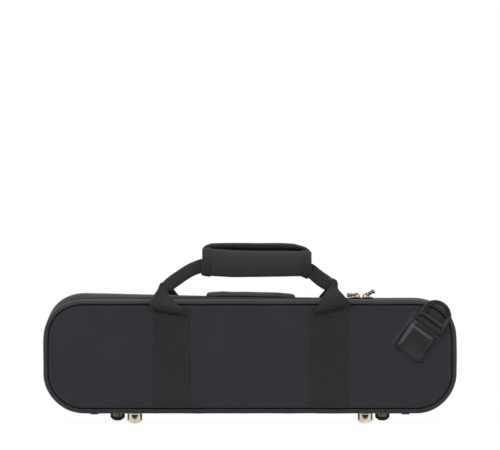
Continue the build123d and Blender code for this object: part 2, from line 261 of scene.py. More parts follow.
def webbing(width, thickness):
    """Section of flat webbing with lengthwise ribs on both faces and rounded edges."""
    x = np.linspace(-width / 2, width / 2, int(width / RIB_PITCH) * POINTS_PER_RIB + 1)
    top = (thickness / 2 + RIB * np.cos(x / RIB_PITCH * TAU)) * rounded_edge(2 * x / width, 10)
    return np.concatenate([np.stack([x, top], 1), np.stack([x[::-1], -top[::-1]], 1)[1:-1]])


def lathe(profile, count=64):
    """Turns a (radius, height) profile about the vertical axis."""
    radius, height = np.asarray(profile, float).T[..., None]
    a = np.arange(count) * TAU / count
    return xyz(radius * np.cos(a), radius * np.sin(a), height)


def rounded_box(size, radius, steps=3):
    """Box with rounded edges about the origin, as a grid that wraps and closes in two caps."""
    half = np.asarray(size, float) / 2 - radius
    turn = np.linspace(0, math.pi / 2, steps + 1)
    lon = np.concatenate([turn + k * math.pi / 2 for k in range(4)])
    side_x = np.repeat([1, -1, -1, 1], steps + 1)
    side_y = np.repeat([1, 1, -1, -1], steps + 1)
    side_z = np.repeat([-1, 1], steps + 1)[:, None]
    lat = np.concatenate([turn - math.pi / 2, turn])[:, None]
    x = side_x * half[0] + radius * np.cos(lat) * np.cos(lon)
    y = side_y * half[1] + radius * np.cos(lat) * np.sin(lon)
    return xyz(x, y, side_z * half[2] + radius * np.sin(lat))


def round_corners(x, z, half_x, half_z, radius):
    """Draws a rectangular grid in to rounded corners."""
    dx = np.clip((np.abs(x) - (half_x - radius)) / radius, 0, 1)
    dz = np.clip((np.abs(z) - (half_z - radius)) / radius, 0, 1)
    x = np.sign(x) * (np.minimum(np.abs(x), half_x - radius) + radius * dx * np.sqrt(1 - dz**2 / 2))
    z = np.sign(z) * (np.minimum(np.abs(z), half_z - radius) + radius * dz * np.sqrt(1 - dx**2 / 2))
    return x, z


# ---- outline of the case
LIFT_FROM_X = 125.0
LEFT_LIFT, LEFT_LIFT_RUN = 5.3, 305.0
COIL_LIFT, COIL_LIFT_RUN = 2.1, 185.0
CORNER_PUSH = 1.5
END_BOW, END_BOW_FROM_X = 0.7, 150.0
# Where each of the lifts sets in: across the zip, behind it, and up the case.
COIL_LIFT_Y = (PARTING_Y - 4.8, PARTING_Y - 0.6)
REAR_LIFT_Y = (PARTING_Y + 1.5, PARTING_Y + 12)
LIFT_Z = (CENTRE_Z - 4, TOP_Z - 11)


def outline_ring(step=2.6, arc=26):
    """Points round the case in (x, z), anticlockwise from the bottom middle, with outward normals."""
    low, high = BASE_Z + CORNER, TOP_Z - CORNER

    def straight(a, b, normal):
        a, b = np.array(a), np.array(b)
        count = max(2, round(float(np.linalg.norm(b - a)) / step))
        t = np.arange(count)[:, None] / count
        return a + (b - a) * t, np.broadcast_to(normal, (count, 2))

    def bend(x, z, start):
        angle = np.radians(start) + np.arange(arc) / arc * math.pi / 2
        normal = np.stack([np.cos(angle), np.sin(angle)], 1)
        return np.array((x, z)) + normal * CORNER, normal

    stretches = [
        straight((0, BASE_Z), (STRAIGHT_X, BASE_Z), (0.0, -1.0)),
        bend(STRAIGHT_X, low, -90),
        straight((END_X, low), (END_X, high), (1.0, 0.0)),
        bend(STRAIGHT_X, high, 0),
        straight((STRAIGHT_X, TOP_Z), (-STRAIGHT_X, TOP_Z), (0.0, 1.0)),
        bend(-STRAIGHT_X, high, 90),
        straight((-END_X, high), (-END_X, low), (-1.0, 0.0)),
        bend(-STRAIGHT_X, low, 180),
        straight((-STRAIGHT_X, BASE_Z), (0, BASE_Z), (0.0, -1.0)),
    ]
    return [np.concatenate(rows) for rows in zip(*stretches)]


RING, NORMAL = outline_ring()
RING_LENGTH = lengths(np.concatenate([RING, RING[:1]]))
# The zip lies on all of the outline but the stretch along the bottom, which is the hinge.
ON_ZIP = (np.abs(RING[:, 0]) >= ZIP_END_X) | (RING[:, 1] >= CENTRE_Z)


def settle(p):
    """The soft case's own shape: fuller upper corners, bowed ends, and a rear half that stands
    higher than the front half towards the left."""
    p = np.array(p, float)
    x, y, z = p[..., 0], p[..., 1], p[..., 2]
    rear = LEFT_LIFT * np.clip((LIFT_FROM_X - x) / LEFT_LIFT_RUN, 0, 1) ** 1.6
    coil = COIL_LIFT * np.clip((LIFT_FROM_X - x) / COIL_LIFT_RUN, 0, 1) ** 1.2
    lift = coil * smooth(y, *COIL_LIFT_Y)
    lift = lift + (rear - coil) * smooth(y, *REAR_LIFT_Y)
    lift = lift * smooth(z, *LIFT_Z)
    bow = END_BOW * (1 - ((z - CENTRE_Z) / HALF_HEIGHT) ** 2) * smooth(np.abs(x), END_BOW_FROM_X, END_X)
    past = np.clip(np.abs(x) - STRAIGHT_X, 0, None)
    above = np.clip(z - (TOP_Z - CORNER), 0, None)
    reach = np.hypot(past, above) + 1e-6
    push = CORNER_PUSH * 4 * (past * above) ** 2 / reach**3 / CORNER
    new_x = x + np.sign(x) * (bow + push * past / reach)
    return np.stack([new_x, y, z + lift + push * above / reach], -1)


def carried(profile, side, stations=slice(None), swell=0.0):
    """Carries an (inset, distance from the parting plane) profile round the outline."""
    inset, away = np.asarray(profile, float).T
    flat = RING[stations, None] - NORMAL[stations, None] * (inset + swell)[..., None]
    return xyz(flat[..., 0], PARTING_Y + side * away, flat[..., 1])


def around(profile, side, **choices):
    return settle(carried(profile, side, **choices))


def behind(profile, side):
    """Profile whose distances are given from the face, not from the parting plane."""
    return [(inset, DEPTH[side] - back) for inset, back in profile]


# ---- materials
def linear(rgb):
    share = [c / 255 for c in rgb]
    return (*(c / 12.92 if c <= 0.04045 else ((c + 0.055) / 1.055) ** 2.4 for c in share), 1)


class Nodes:
    """Short names for the nodes of one material or of the world."""

    def __init__(self, name, kind="materials"):
        self.block = getattr(bpy.data, kind).new(name)
        self.block.use_nodes = True
        self.tree = self.block.node_tree

    def node(self, kind, **settings):
        n = self.tree.nodes.new(kind)
        for key, value in settings.items():
            setattr(n, key, value)
        return n

    def link(self, a, b):
        self.tree.links.new(a, b)

    def put(self, socket, value):
        if isinstance(value, bpy.types.NodeSocket):
            self.link(value, socket)
        else:
            socket.default_value = value

    def math(self, op, *values):
        n = self.node("ShaderNodeMath", operation=op)
        for socket, value in zip(n.inputs, values):
            self.put(socket, value)
        return n.outputs[0]

    def weigh(self, *parts):
        """Sum of (value, weight) pairs."""
        total = 0.0
        for value, weight in parts:
            total = self.math("MULTIPLY_ADD", value, weight, total)
        return total

    def split(self, vector):
        n = self.node("ShaderNodeSeparateXYZ")
        self.link(vector, n.inputs[0])
        return n.outputs

    def place(self):
        return self.node("ShaderNodeTexCoord").outputs["Object"]

    def noise(self, scale, detail=3.0, rough=0.5):
        n = self.node("ShaderNodeTexNoise")
        self.link(self.place(), n.inputs["Vector"])
        n.inputs["Scale"].default_value = scale
        n.inputs["Detail"].default_value = detail
        n.inputs["Roughness"].default_value = rough
        return n.outputs[0]

    def remap(self, value, low, high, out_low, out_high):
        n = self.node("ShaderNodeMapRange")
        for socket, setting in zip(n.inputs, (value, low, high, out_low, out_high)):
            self.put(socket, setting)
        return n.outputs[0]

    def shade(self, tone, low, high, dark, light):
        """Colour that goes from dark to light as a tone goes from low to high."""
        n = self.node("ShaderNodeMix", data_type="RGBA")
        self.link(self.remap(tone, low, high, 0.0, 1.0), n.inputs["Factor"])
        self.put(n.inputs["A"], linear(dark))
        self.put(n.inputs["B"], linear(light))
        return n.outputs["Result"]

    def bump(self, height, depth, strength):
        n = self.node("ShaderNodeBump")
        n.inputs["Distance"].default_value = depth * MM
        n.inputs["Strength"].default_value = strength
        self.link(height, n.inputs["Height"])
        return n.outputs[0]

    def wave(self, coordinate, pitch):
        """Sine of a coordinate in metres, from 0 to 1."""
        turned = self.math("MULTIPLY", coordinate, TAU / (pitch * MM))
        return self.math("MULTIPLY_ADD", self.math("SINE", turned), 0.5, 0.5)

    def done(self, colour, rough, normal, **fixed):
        inputs = self.tree.nodes["Principled BSDF"].inputs
        self.put(inputs["Base Color"], colour)
        self.put(inputs["Roughness"], rough)
        self.link(normal, inputs["Normal"])
        for key, value in fixed.items():
            inputs[key.replace("_", " ")].default_value = value
        return self.block


FABRIC = {"Sheen_Roughness": 0.6, "Specular_IOR_Level": 0.25}


def cloth(name, dark, light, pitch=(0.55, 0.55), depth=0.06, rough=0.86, sheen=0.25):
    """Woven fabric: thread relief over the UVs, uneven yarn colour and a faint sheen."""
    n = Nodes(name)
    uv = n.split(n.node("ShaderNodeUVMap", uv_map="UVMap").outputs[0])
    over = n.math("MULTIPLY", n.wave(uv[0], pitch[0]), n.wave(uv[1], pitch[1]))
    yarn, cloud = n.noise(900.0, 2.0), n.noise(22.0)
    colour = n.shade(n.weigh((over, 0.45), (yarn, 0.45), (cloud, 0.35)), 0.25, 0.85, dark, light)
    relief = n.bump(n.weigh((over, 1.0), (yarn, 0.5)), depth, 0.8)
    return n.done(colour, rough, relief, Sheen_Weight=sheen, **FABRIC)


def ribbed(name, dark, light, rib=RIB_PITCH, sheen=0.2):
    """Webbing: ribs that run lengthwise with fine weft steps across each of them."""
    n = Nodes(name)
    uv = n.split(n.node("ShaderNodeUVMap", uv_map="UVMap").outputs[0])
    ribs, steps = n.wave(uv[1], rib), n.wave(uv[0], 0.8)
    yarn, cloud = n.noise(1100.0, 2.0), n.noise(30.0)
    tone = n.weigh((steps, 0.2), (ribs, 0.5), (cloud, 0.3), (yarn, 0.35))
    relief = n.bump(n.weigh((ribs, 1.0), (yarn, 0.4), (steps, 0.45)), 0.10, 0.8)
    colour = n.shade(tone, 0.25, 0.9, dark, light)
    return n.done(colour, 0.8, relief, Sheen_Weight=sheen, **FABRIC)


def hide(name, dark, light):
    """Grained leather, with smoother and rougher patches."""
    n = Nodes(name)
    grain = n.node("ShaderNodeTexVoronoi")
    n.link(n.place(), grain.inputs["Vector"])
    grain.inputs["Scale"].default_value = 1500.0
    cloud, fine = n.noise(60.0, 4.0), n.noise(2500.0, 2.0)
    relief = n.bump(n.weigh((grain.outputs["Distance"], 1.0), (fine, 0.3)), 0.06, 0.5)
    rough = n.remap(cloud, 0.3, 0.7, 0.34, 0.46)
    return n.done(n.shade(cloud, 0.3, 0.7, dark, light), rough, relief, Specular_IOR_Level=0.6)


def plastic(name, dark, light, rough):
    n = Nodes(name)
    cloud, fine = n.noise(90.0), n.noise(3200.0, 2.0)
    rough = n.remap(fine, 0.3, 0.7, rough - 0.06, rough + 0.08)
    colour = n.shade(cloud, 0.3, 0.7, dark, light)
    return n.done(colour, rough, n.bump(fine, 0.02, 0.5), Specular_IOR_Level=0.5)


def metal(name, dark, light, rough, scale=140.0):
    n = Nodes(name)
    cloud, fine = n.noise(scale, 4.0, 0.6), n.noise(1800.0, 2.0)
    rough = n.remap(fine, 0.3, 0.7, *rough)
    colour = n.shade(cloud, 0.35, 0.68, dark, light)
    return n.done(colour, rough, n.bump(fine, 0.012, 0.5), Metallic=1.0)


def pile(name, dark, light):
    """Short plush: soft clumps with a strong sheen."""
    n = Nodes(name)
    tuft, lay = n.noise(650.0, 4.0, 0.7), n.noise(28.0)
    colour = n.shade(n.weigh((tuft, 0.5), (lay, 0.7)), 0.35, 0.85, dark, light)
    nap = {"Sheen_Weight": 0.7, "Sheen_Roughness": 0.4, "Specular_IOR_Level": 0.15}
    return n.done(colour, 0.95, n.bump(tuft, 0.5, 0.9), **nap)


def wood(name, dark, light):
    """Plywood: wavy plies across the case and a fine grain."""
    n = Nodes(name)
    bent = n.math("MULTIPLY_ADD", n.noise(18.0, 4.0), 0.004, n.split(n.place())[1])
    ply, grain = n.wave(bent, 1.3), n.noise(420.0, 5.0, 0.7)
    colour = n.shade(n.weigh((ply, 0.4), (grain, 0.6)), 0.0, 1.0, dark, light)
    return n.done(colour, n.remap(grain, 0.3, 0.7, 0.5, 0.7), n.bump(grain, 0.05, 0.6))


FINE_THREAD = {"pitch": (0.4, 0.4), "rough": 0.6}
NYLON = cloth("nylon_canvas", (50, 49, 55), (61, 60, 66), sheen=0.15)
BAND_NYLON = cloth("band_nylon", (53, 53, 57), (67, 67, 71), sheen=0.2)
GRIP_NYLON = cloth("grip_nylon_cloth", (52, 51, 56), (64, 63, 68), sheen=0.3)
TAPE = cloth("zip_tape_cloth", (34, 35, 35), (48, 49, 48), pitch=(0.5, 0.9), depth=0.08)
WEBBING = ribbed("webbing_weave", (37, 39, 40), (54, 56, 57), sheen=0.12)
# Darker copy of the strap webbing for the handle's folds: painted shade.
FOLD_WEB_SHADED = ribbed("folded_webbing_painted_shade", (32, 34, 35), (48, 50, 51), sheen=0.1)
ROLLED = cloth("rolled_webbing", (38, 39, 42), (60, 60, 64), pitch=(0.8, 0.9), sheen=0.12)
STRIP_WEB = ribbed("strip_webbing", (74, 75, 74), (98, 99, 97), sheen=0.15)
BINDING = ribbed("binding_tape", (44, 45, 48), (58, 59, 62), rib=1.1)
COIL = plastic("zip_coil_nylon", (72, 74, 69), (102, 104, 97), 0.36)
THREAD = cloth("sewing_thread", (42, 43, 43), (60, 61, 60), sheen=0.1, **FINE_THREAD)
DARK_THREAD = cloth("dark_thread", (12, 12, 13), (20, 20, 22), sheen=0.0, **FINE_THREAD)
# Near-black strip in the seam groove between band and panel: painted shade.
SEAM_SHADE = cloth("painted_seam_shade", (9, 9, 10), (16, 16, 17), rough=0.95, sheen=0.0)
LIP = cloth("flap_facing", (42, 42, 39), (56, 55, 51), sheen=0.1)
# Lighter copy of the patch leather for the backing: painted highlight on the flange's edges.
FLANGE_LIT = hide("flange_leather_painted_highlight", (58, 57, 61), (74, 73, 77))
LEATHER = hide("patch_leather", (46, 45, 50), (61, 60, 65))
PLASTIC = plastic("loop_plastic_moulded", (50, 51, 50), (63, 63, 61), 0.3)
NICKEL = metal("warm_nickel", (176, 162, 144), (222, 210, 194), (0.04, 0.1))
ZIP_METAL = metal("antique_zip_metal", (158, 142, 120), (222, 210, 190), (0.12, 0.24), scale=420.0)
# Darker copy of the nickel for the rear feet: painted shade under the case.
SHADED_NICKEL = metal("nickel_painted_shade", (82, 76, 66), (116, 108, 95), (0.08, 0.2))
STEEL = metal("zinc_plated_steel", (165, 168, 172), (196, 199, 203), (0.28, 0.42))
PLUSH = pile("insert_plush", (48, 48, 58), (72, 72, 84))
PLYWOOD = wood("plywood_shell", (150, 112, 72), (214, 182, 138))
HOOKS = pile("hook_and_loop_pile", (26, 26, 28), (42, 42, 44))


# ---- threads
THREAD_RINGS, THREAD_SPOKES = 5, 6
SEAT_HALF = 0.4


def threads(seats, length, radius, blunt=1.06):
    """Short closed threads as grids. A seat is (centre, direction, outward normal)."""
    lat = np.linspace(-1, 1, THREAD_RINGS)
    swell = radius * np.sqrt(np.clip(blunt - lat**2, 0, 1))
    spoke = np.arange(THREAD_SPOKES)[:, None] * TAU / THREAD_SPOKES
    grids = []
    for centre, direction, normal in seats:
        d = unit(np.asarray(direction, float))
        w = unit(np.cross(d, normal))
        tube = w * np.cos(spoke) + np.cross(w, d) * np.sin(spoke)
        middle = np.asarray(centre) + d * (lat * length / 2)[:, None]
        grids.append(middle[:, None] + tube * swell[:, None, None])
    return grids


def along_line(points, pitch, normal):
    """Stitch seats spaced evenly along a polyline."""
    p = np.asarray(points, float)
    s = lengths(p)
    count = max(1, int(s[-1] / pitch))
    seats = []
    for k in range(count):
        here = (k + 0.5) * s[-1] / count
        a, b = (
            np.array([np.interp(at, s, p[:, c]) for c in range(3)])
            for at in (here - SEAT_HALF, here + SEAT_HALF)
        )
        seats.append(((a + b) / 2, b - a, normal))
    return seats


# ---- covers
# How far the panel stands out from the face, against the distance from the case's edge.
PANEL_RISE_AT = [5.95, 6.0, 6.1, 6.45, 7.25, 8.75, 11.0, 18.0, 28.0, 41.0]
PANEL_RISE = [-3.0, -1.5, -0.7, -0.25, -0.02, 0.12, 0.3, 0.5, 0.7, 0.8]
PANEL_INSETS = np.array(PANEL_RISE_AT[:7] + [15, 18, 23, 28, 34, 40])
PANEL_RIDGE, PANEL_STEPS, PANEL_WAVE = 0.85, (0.3, 0.62, 1.0), 0.16
BAND_HEM = [
    (2.4, 6.2), (1.9, 5.5), (1.3, 5.1), (0.6, 5.05), (0.12, 5.35), (-0.05, 5.95), (-0.08, 6.7),
    (0.0, 7.3), (0.14, 7.7), (0.0, 8.1),
]
BAND_FLAT_FROM, BAND_FLAT = 9.6, {FRONT: (5, 0.35), REAR: (9, 0.6)}
# Size, stretch, pitch and seed of each unevenness of the cloth.
BAND_WAVES = ((0.16, 3, 34, 11), (0.05, 1, 9, 5))
BAND_TURN = np.radians(np.linspace(6, 69, 9))
BAND_TUCK = [
    (4.52, 0.62), (4.64, 1.2), (4.7, 2.0), (4.9, 3.1), (5.4, 3.4), (6.6, 3.45), (7.6, 4.1),
    (7.2, 1.9 + EDGE), (1.5, 1.0 + EDGE),
]
BAND_BACK = [(1.5, 9.0), (2.3, 7.0)]
SEAM_SHADE_PROFILE = [(4.8, 1.95), (4.95, 1.4), (5.45, 1.2), (5.95, 1.4), (6.05, 1.95), (5.45, 2.35)]


def panel_rise(inset):
    return np.interp(inset, PANEL_RISE_AT, PANEL_RISE)


def band_grid(side):
    """Cloth round the case's edge: hem at the zip, flat, rounded edge, and the tuck at the seam."""
    d = DEPTH[side]
    count, swell = BAND_FLAT[side]
    flat = [
        (-swell * math.sin(math.pi * k / (count - 1)) ** 0.8, q)
        for k, q in enumerate(np.linspace(BAND_FLAT_FROM, d - EDGE - 0.3, count))
    ]
    rounded = [
        (EDGE * (1 - math.cos(a)) - 0.25 * math.sin(2 * a), d - EDGE + EDGE * math.sin(a) + 0.12)
        for a in BAND_TURN
    ]
    profile = BAND_HEM + flat + rounded + behind(BAND_TUCK, side) + BAND_BACK
    s, q = RING_LENGTH[:-1, None], np.array([away for _, away in profile])
    wave = sum(size * ripple(s, k * q, pitch, seed + side) for size, k, pitch, seed in BAND_WAVES)
    return around(profile, side, swell=wave * smooth(q, 6, 9))


def panel_cover(side, word, body):
    """Padded face of the case, from its seam to a ridge along the middle."""
    face = DEPTH[side]
    grid = around(np.stack([PANEL_INSETS, face + panel_rise(PANEL_INSETS)], 1), side)
    last = grid[:, -1:]
    ridge_x = np.clip(RING[:, :1], -STRAIGHT_X, STRAIGHT_X)
    ridge = xyz(ridge_x, PARTING_Y + side * (face + PANEL_RIDGE), CENTRE_Z)
    grid = np.concatenate([grid] + [last + (ridge - last) * f for f in PANEL_STEPS], 1)
    wave = ripple(grid[..., 0], grid[..., 2], 70, 21 + side)
    grid[..., 1] += side * PANEL_WAVE * wave * smooth(np.arange(grid.shape[1]), 3, 8)
    verts, faces, _ = lattice(grid, wrap_i=True)
    uvs = [[verts[k][0], verts[k][2]] for face in faces for k in face]
    obj = add(f"{word}_panel_cover", verts, faces, uvs, body, NYLON, "nylon")
    weld(obj)
    return obj


for side, word, body in SIDES:
    cover = skin(
        f"{word}_band_cover", band_grid(side), body, BAND_NYLON, "nylon", wrap_i=True, wrap_j=True
    )
    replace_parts(cover, f"{word}_band")
    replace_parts(panel_cover(side, word, body), f"{word}_panel")

# Near-black strip at the bottom of the groove between band and panel: painted shade in the seam.
for side, word, body in SIDES:
    grid = around(behind(SEAM_SHADE_PROFILE, side), side)
    skin(f"{word}_seam_shade_strip", grid, body, SEAM_SHADE, "nylon", wrap_i=True, wrap_j=True)


# ---- zip
ZIP_TAPE = [
    (0.5, 0.35), (0.55, 1.4), (0.62, 3.0), (0.7, 5.0), (0.9, 6.2), (1.7, 6.3), (1.5, 5.0),
    (1.4, 3.0), (1.35, 0.35),
]
TOOTH_PITCH, TOOTH_LENGTH, TOOTH_RADIUS, TOOTH_BLUNT = 1.55, 2.48, 0.62, 1.1
TOOTH_FROM_PARTING, TOOTH_PROUD, LAST_TOOTH = 1.38, 0.05, 0.5
TOOTH_SHIFT = {FRONT: 0.0, REAR: 0.5}
SPINE_HALF, SPINE_THICK = 5.2, 0.9


def coil_teeth(side):
    """Loops of one half of the coil. Those of the two halves lie half a pitch apart."""
    base, normal = RING[ON_ZIP], NORMAL[ON_ZIP]
    s = lengths(base)
    at = np.arange(TOOTH_PITCH, s[-1] - TOOTH_PITCH, TOOTH_PITCH) + TOOTH_SHIFT[side] * TOOTH_PITCH
    at = at[at < s[-1] - LAST_TOOTH]
    flat, out = (np.stack([np.interp(at, s, v[:, c]) for c in (0, 1)], 1) for v in (base, normal))
    out = unit(out)
    flat = flat + out * TOOTH_PROUD
    y = PARTING_Y + side * TOOTH_FROM_PARTING
    seats = [((x, y, z), (0, side, 0), (a, 0, b)) for (x, z), (a, b) in zip(flat, out)]
    return [settle(g) for g in threads(seats, TOOTH_LENGTH, TOOTH_RADIUS, TOOTH_BLUNT)]


def spine_grid():
    """Cloth hinge along the bottom, with a sewn line near each edge."""
    x = np.linspace(-ZIP_END_X + 1, ZIP_END_X - 1, 80)[:, None]
    u = np.linspace(-1, 1, 15)
    y = PARTING_Y + SPINE_HALF * u
    low = BASE_Z + 0.35 + 0.3 * u**2 - 0.25 * bell(np.abs(u) - 0.82, 0.1)
    outer = xyz(x, y, low + 0.12 * ripple(x, y, 26, 31))
    return np.concatenate([outer, outer[:, ::-1] + np.array([0, 0, SPINE_THICK])], 1)


for side, word, body in SIDES:
    grid = around(ZIP_TAPE, side, stations=ON_ZIP)
    tape = solid(f"{word}_zip_tape_cloth", grid, body, TAPE, "zip_tape")
    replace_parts(tape, f"{word}_zip_tape")
    verts, faces, _ = merge(coil_teeth(side))
    coil = add(f"{word}_zip_teeth", verts, faces, None, body, COIL, "zip_coil")
    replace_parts(coil, f"{word}_zip_coil")

spine = solid("bottom_spine", spine_grid(), None, NYLON, "nylon")
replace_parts(spine, "front_spine", "rear_spine")
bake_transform(spine)


# ---- panel straps
STRAP_THICK, STRAP_RISE, STRAP_TUCK = 1.35, 0.72, -1.3
BOX_HALF, BOX_LOW, BOX_HIGH = 15.5, 79.5, 112.4
FOOT_ROWS, FOOT_ROW_HALF, TOP_ROW = (20.6, 18.4), 16.5, BOX_HIGH - 2.2
BOX_PITCH, BOX_STITCH = 2.9, (2.2, 0.36)


def strap_surface(side, z):
    """Y of the middle of a panel strap at a height."""
    from_edge = np.minimum(z - BASE_Z, TOP_Z - z)
    return PARTING_Y + side * (DEPTH[side] + np.maximum(panel_rise(from_edge), STRAP_TUCK) + STRAP_RISE)


def panel_strap(side, sign):
    foot, top = np.linspace(BASE_Z + 6.1, 22, 8), np.linspace(116, TOP_Z - 6, 8)
    z = np.concatenate([foot, np.linspace(24, 114, 46), top])[:, None]
    across, out = webbing(STRAP_WIDTH, STRAP_THICK).T
    x = sign * STRAP_X + 0.25 * ripple(z, 0, 60, 40 + sign) + across
    tilt = 0.18 * ripple(across, z, 30, 50 + sign + side)
    return xyz(x, strap_surface(side, z) + side * (out + tilt), z)


def box_stitches(side, sign):
    """A box with a cross above, and a double row at the strap's foot."""
    a, b = (-BOX_HALF, BOX_LOW), (BOX_HALF, BOX_LOW)
    c, d = (BOX_HALF, BOX_HIGH), (-BOX_HALF, BOX_HIGH)
    lines = [(a, b), (b, c), (c, d), (d, a), (a, c), (d, b)]
    lines += [((-FOOT_ROW_HALF, z), (FOOT_ROW_HALF, z)) for z in FOOT_ROWS]
    lines += [((-BOX_HALF, TOP_ROW), (BOX_HALF, TOP_ROW))]
    seats = []
    for start, end in lines:
        x, z = np.linspace(start, end, 12).T
        y = strap_surface(side, z) + side * (STRAP_THICK / 2 + 0.065)
        seats += along_line(xyz(sign * STRAP_X + x, y, z), BOX_PITCH, (0, side, 0))
    return seats


for side, word, body in SIDES:
    for sign, hand in HANDS:
        strap = solid(f"{word}_{hand}_webbing", panel_strap(side, sign), body, WEBBING, "webbing")
        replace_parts(strap, f"{word}_{hand}_strap")
        stitches = threads(box_stitches(side, sign), *BOX_STITCH)
        solids(f"{word}_{hand}_box_stitching", stitches, body, THREAD, "webbing")


# ---- carrying handle
# Edges of each fold on the lid's side, from the sewn strap up to the knuckle, as (x, z).
LEFT_FOLD_OUTER = [
    (-102.2, 119.6), (-103.0, 122.4), (-103.2, 126.2), (-101.3, 131.1), (-99.4, 134.6),
    (-95.9, 140.0), (-94.6, 143.4), (-93.6, 146.0),
]
LEFT_FOLD_INNER = [
    (-65.2, 113.8), (-68.6, 118.2), (-71.9, 122.0), (-76.1, 125.8), (-80.8, 131.1),
    (-83.6, 134.6), (-87.2, 139.2), (-89.4, 147.7),
]
RIGHT_FOLD_OUTER = [
    (103.4, 124.0), (102.4, 127.6), (99.2, 131.6), (95.6, 135.7), (92.4, 139.3), (91.2, 142.2),
    (91.5, 145.0), (90.3, 149.4),
]
RIGHT_FOLD_INNER = [
    (65.4, 114.6), (68.2, 118.8), (70.9, 123.5), (73.8, 130.9), (77.1, 134.8), (80.6, 139.4),
    (84.4, 144.6), (86.2, 150.6),
]
REAR_LEFT_FOLD_INNER = [
    (-63.6, 115.4), (-66.2, 119.0), (-69.0, 123.5), (-71.5, 127.0), (-75.4, 131.6),
    (-78.8, 135.8), (-83.0, 140.8), (-87.6, 145.6),
]
FOLD_Y = [-38.6, -38.8, -37.4, -34.6, -31.6, -28.4, -25.8, -24.0]
FOLD_ROWS, FOLD_COLUMNS = 34, 56
# Each against the share of the fold's height.
FOLD_CROWN = ([0, 0.2, 0.6, 1], [1.2, 1.6, 1.6, 1.0])
FOLD_FAT = ([0, 0.15, 0.5, 1], [2.0, 2.7, 3.6, 3.6])
FOLD_LIP = ([0, 0.05, 0.12], [1.4, 0.35, 0])
CREASE_DEPTH, CREASE_FROM_EDGE, CREASE_WIDTH = 0.5, 5.5, 0.8
FOLD_PIVOT_Y, FOLD_BEND_FROM_Z, FOLD_BEND_TO_Z = 35.0, 116.4, 125.5
LEFT_ROLL = [
    (-90.3, -24.6, 139.4), (-88.2, -22.6, 141.4), (-83.9, -20.0, 144.9), (-72.3, -14.0, 153.2),
    (-62.3, -8.8, 159.4), (-51.2, -5.2, 163.7), (-42.0, -4.6, 165.2),
]
LEFT_ROLL_WIDTH = [8.0, 10.5, 13.4, 13.7, 13.8, 14.2, 13.5]
RIGHT_ROLL = [
    (56.0, -4.6, 162.0), (63.1, -5.0, 159.4), (69.2, -8.6, 154.0), (75.9, -13.6, 148.9),
    (82.2, -18.6, 145.2), (86.6, -21.8, 145.4), (89.0, -23.4, 147.4),
]
RIGHT_ROLL_WIDTH = [13.2, 14.0, 14.8, 15.2, 14.4, 10.8, 6.5]
ROLL_ROWS, ROLL_SPOKES, ROLL_RIB_PITCH = 46, 112, 2.55
IN_GRIP = [(-43.5, -4.6, 165.0), (-10, -4.6, 163.2), (24, -4.6, 162.6), (58, -4.7, 161.4)]


def handed(side):
    """The rear handle is the front one seen in a mirror."""
    return np.array([1, -side, 1])


def fold_grid(outer, inner, side):
    """Webbing whose edges are folded back so that it narrows to the knuckle."""
    a, b = through(outer, FOLD_ROWS), through(inner, FOLD_ROWS)
    t, u = np.linspace(0, 1, FOLD_ROWS)[:, None], np.linspace(0, 1, FOLD_COLUMNS)
    flat = a[:, None] + (b - a)[:, None] * u[:, None]
    depth = run(FOLD_Y, FOLD_ROWS) - np.interp(t, *FOLD_CROWN) * np.sin(np.pi * u) ** 0.7
    from_inner = (1 - u) * np.linalg.norm(b - a, axis=1)[:, None]
    crease = CREASE_DEPTH * bell(from_inner - CREASE_FROM_EDGE, CREASE_WIDTH) * smooth(t, 0.1, 0.4)
    relief = RIB * np.cos(from_inner / RIB_PITCH * TAU) - crease
    front = xyz(flat[..., 0], depth, flat[..., 1])
    normal = unit(np.cross(np.gradient(front, axis=0), np.gradient(front, axis=1)))
    normal *= np.sign(-normal[..., 1:2] + TINY)
    edge = rounded_edge(2 * u - 1, 8)
    top = front + normal * (relief * edge)[..., None]
    under = front - normal * (np.interp(t, *FOLD_FAT) * edge)[..., None]
    top[..., 1] += np.interp(t, *FOLD_LIP)
    under[..., 2] += 2.6 * smooth(t, 0.12, 0.0)
    return np.concatenate([top, under[:, ::-1]], 1) * handed(side)


def roll_grid(path, widths, side, height, power, rib):
    """Webbing rolled up into a ribbed cord."""
    width = run(widths, ROLL_ROWS)
    high = height * np.minimum(1.0, 0.55 + 0.45 * width / max(widths))
    s = oval(1.0, 1.0, ROLL_SPOKES, power) * np.stack([width, high], -1)
    ribs = rib * np.cos(s[..., 0] / ROLL_RIB_PITCH * TAU)
    s[..., 1] += np.sign(s[..., 1]) * ribs * smooth(np.abs(s[..., 1]), 0.1 * high, 0.35 * high)
    return sweep(through(path, ROLL_ROWS), s, (0, 1, 0)) * handed(side)


for side, word, body in SIDES:
    left_inner = LEFT_FOLD_INNER if side == FRONT else REAR_LEFT_FOLD_INNER
    handle = f"{word}_handle"
    for hand, outer, inner in (
        ("left", LEFT_FOLD_OUTER, left_inner), ("right", RIGHT_FOLD_OUTER, RIGHT_FOLD_INNER)
    ):
        # The folds take the darker copy of the webbing: painted shade.
        fold = solid(f"{word}_{hand}_fold", fold_grid(outer, inner, side), None, FOLD_WEB_SHADED, "webbing")
        y = side * FOLD_PIVOT_Y * MM
        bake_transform(fold)
    for hand, path, widths, height, power, rib in (
        ("left", LEFT_ROLL, LEFT_ROLL_WIDTH, 7.2, 2.4, 0.1),
        ("right", RIGHT_ROLL, RIGHT_ROLL_WIDTH, 5.0, 3.2, 0.45),
    ):
        grid = roll_grid(path, widths, side, height, power, rib)
        solid(f"{word}_{hand}_roll", grid, handle, ROLLED, "webbing")
    core = sweep(through(IN_GRIP, 24), oval(12.8, 4.0, 28, 3.2), (0, 1, 0)) * handed(side)
    core = solid(f"{word}_strap_in_grip", core, handle, WEBBING, "webbing")
    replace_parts(core, f"{word}_handle_strap")


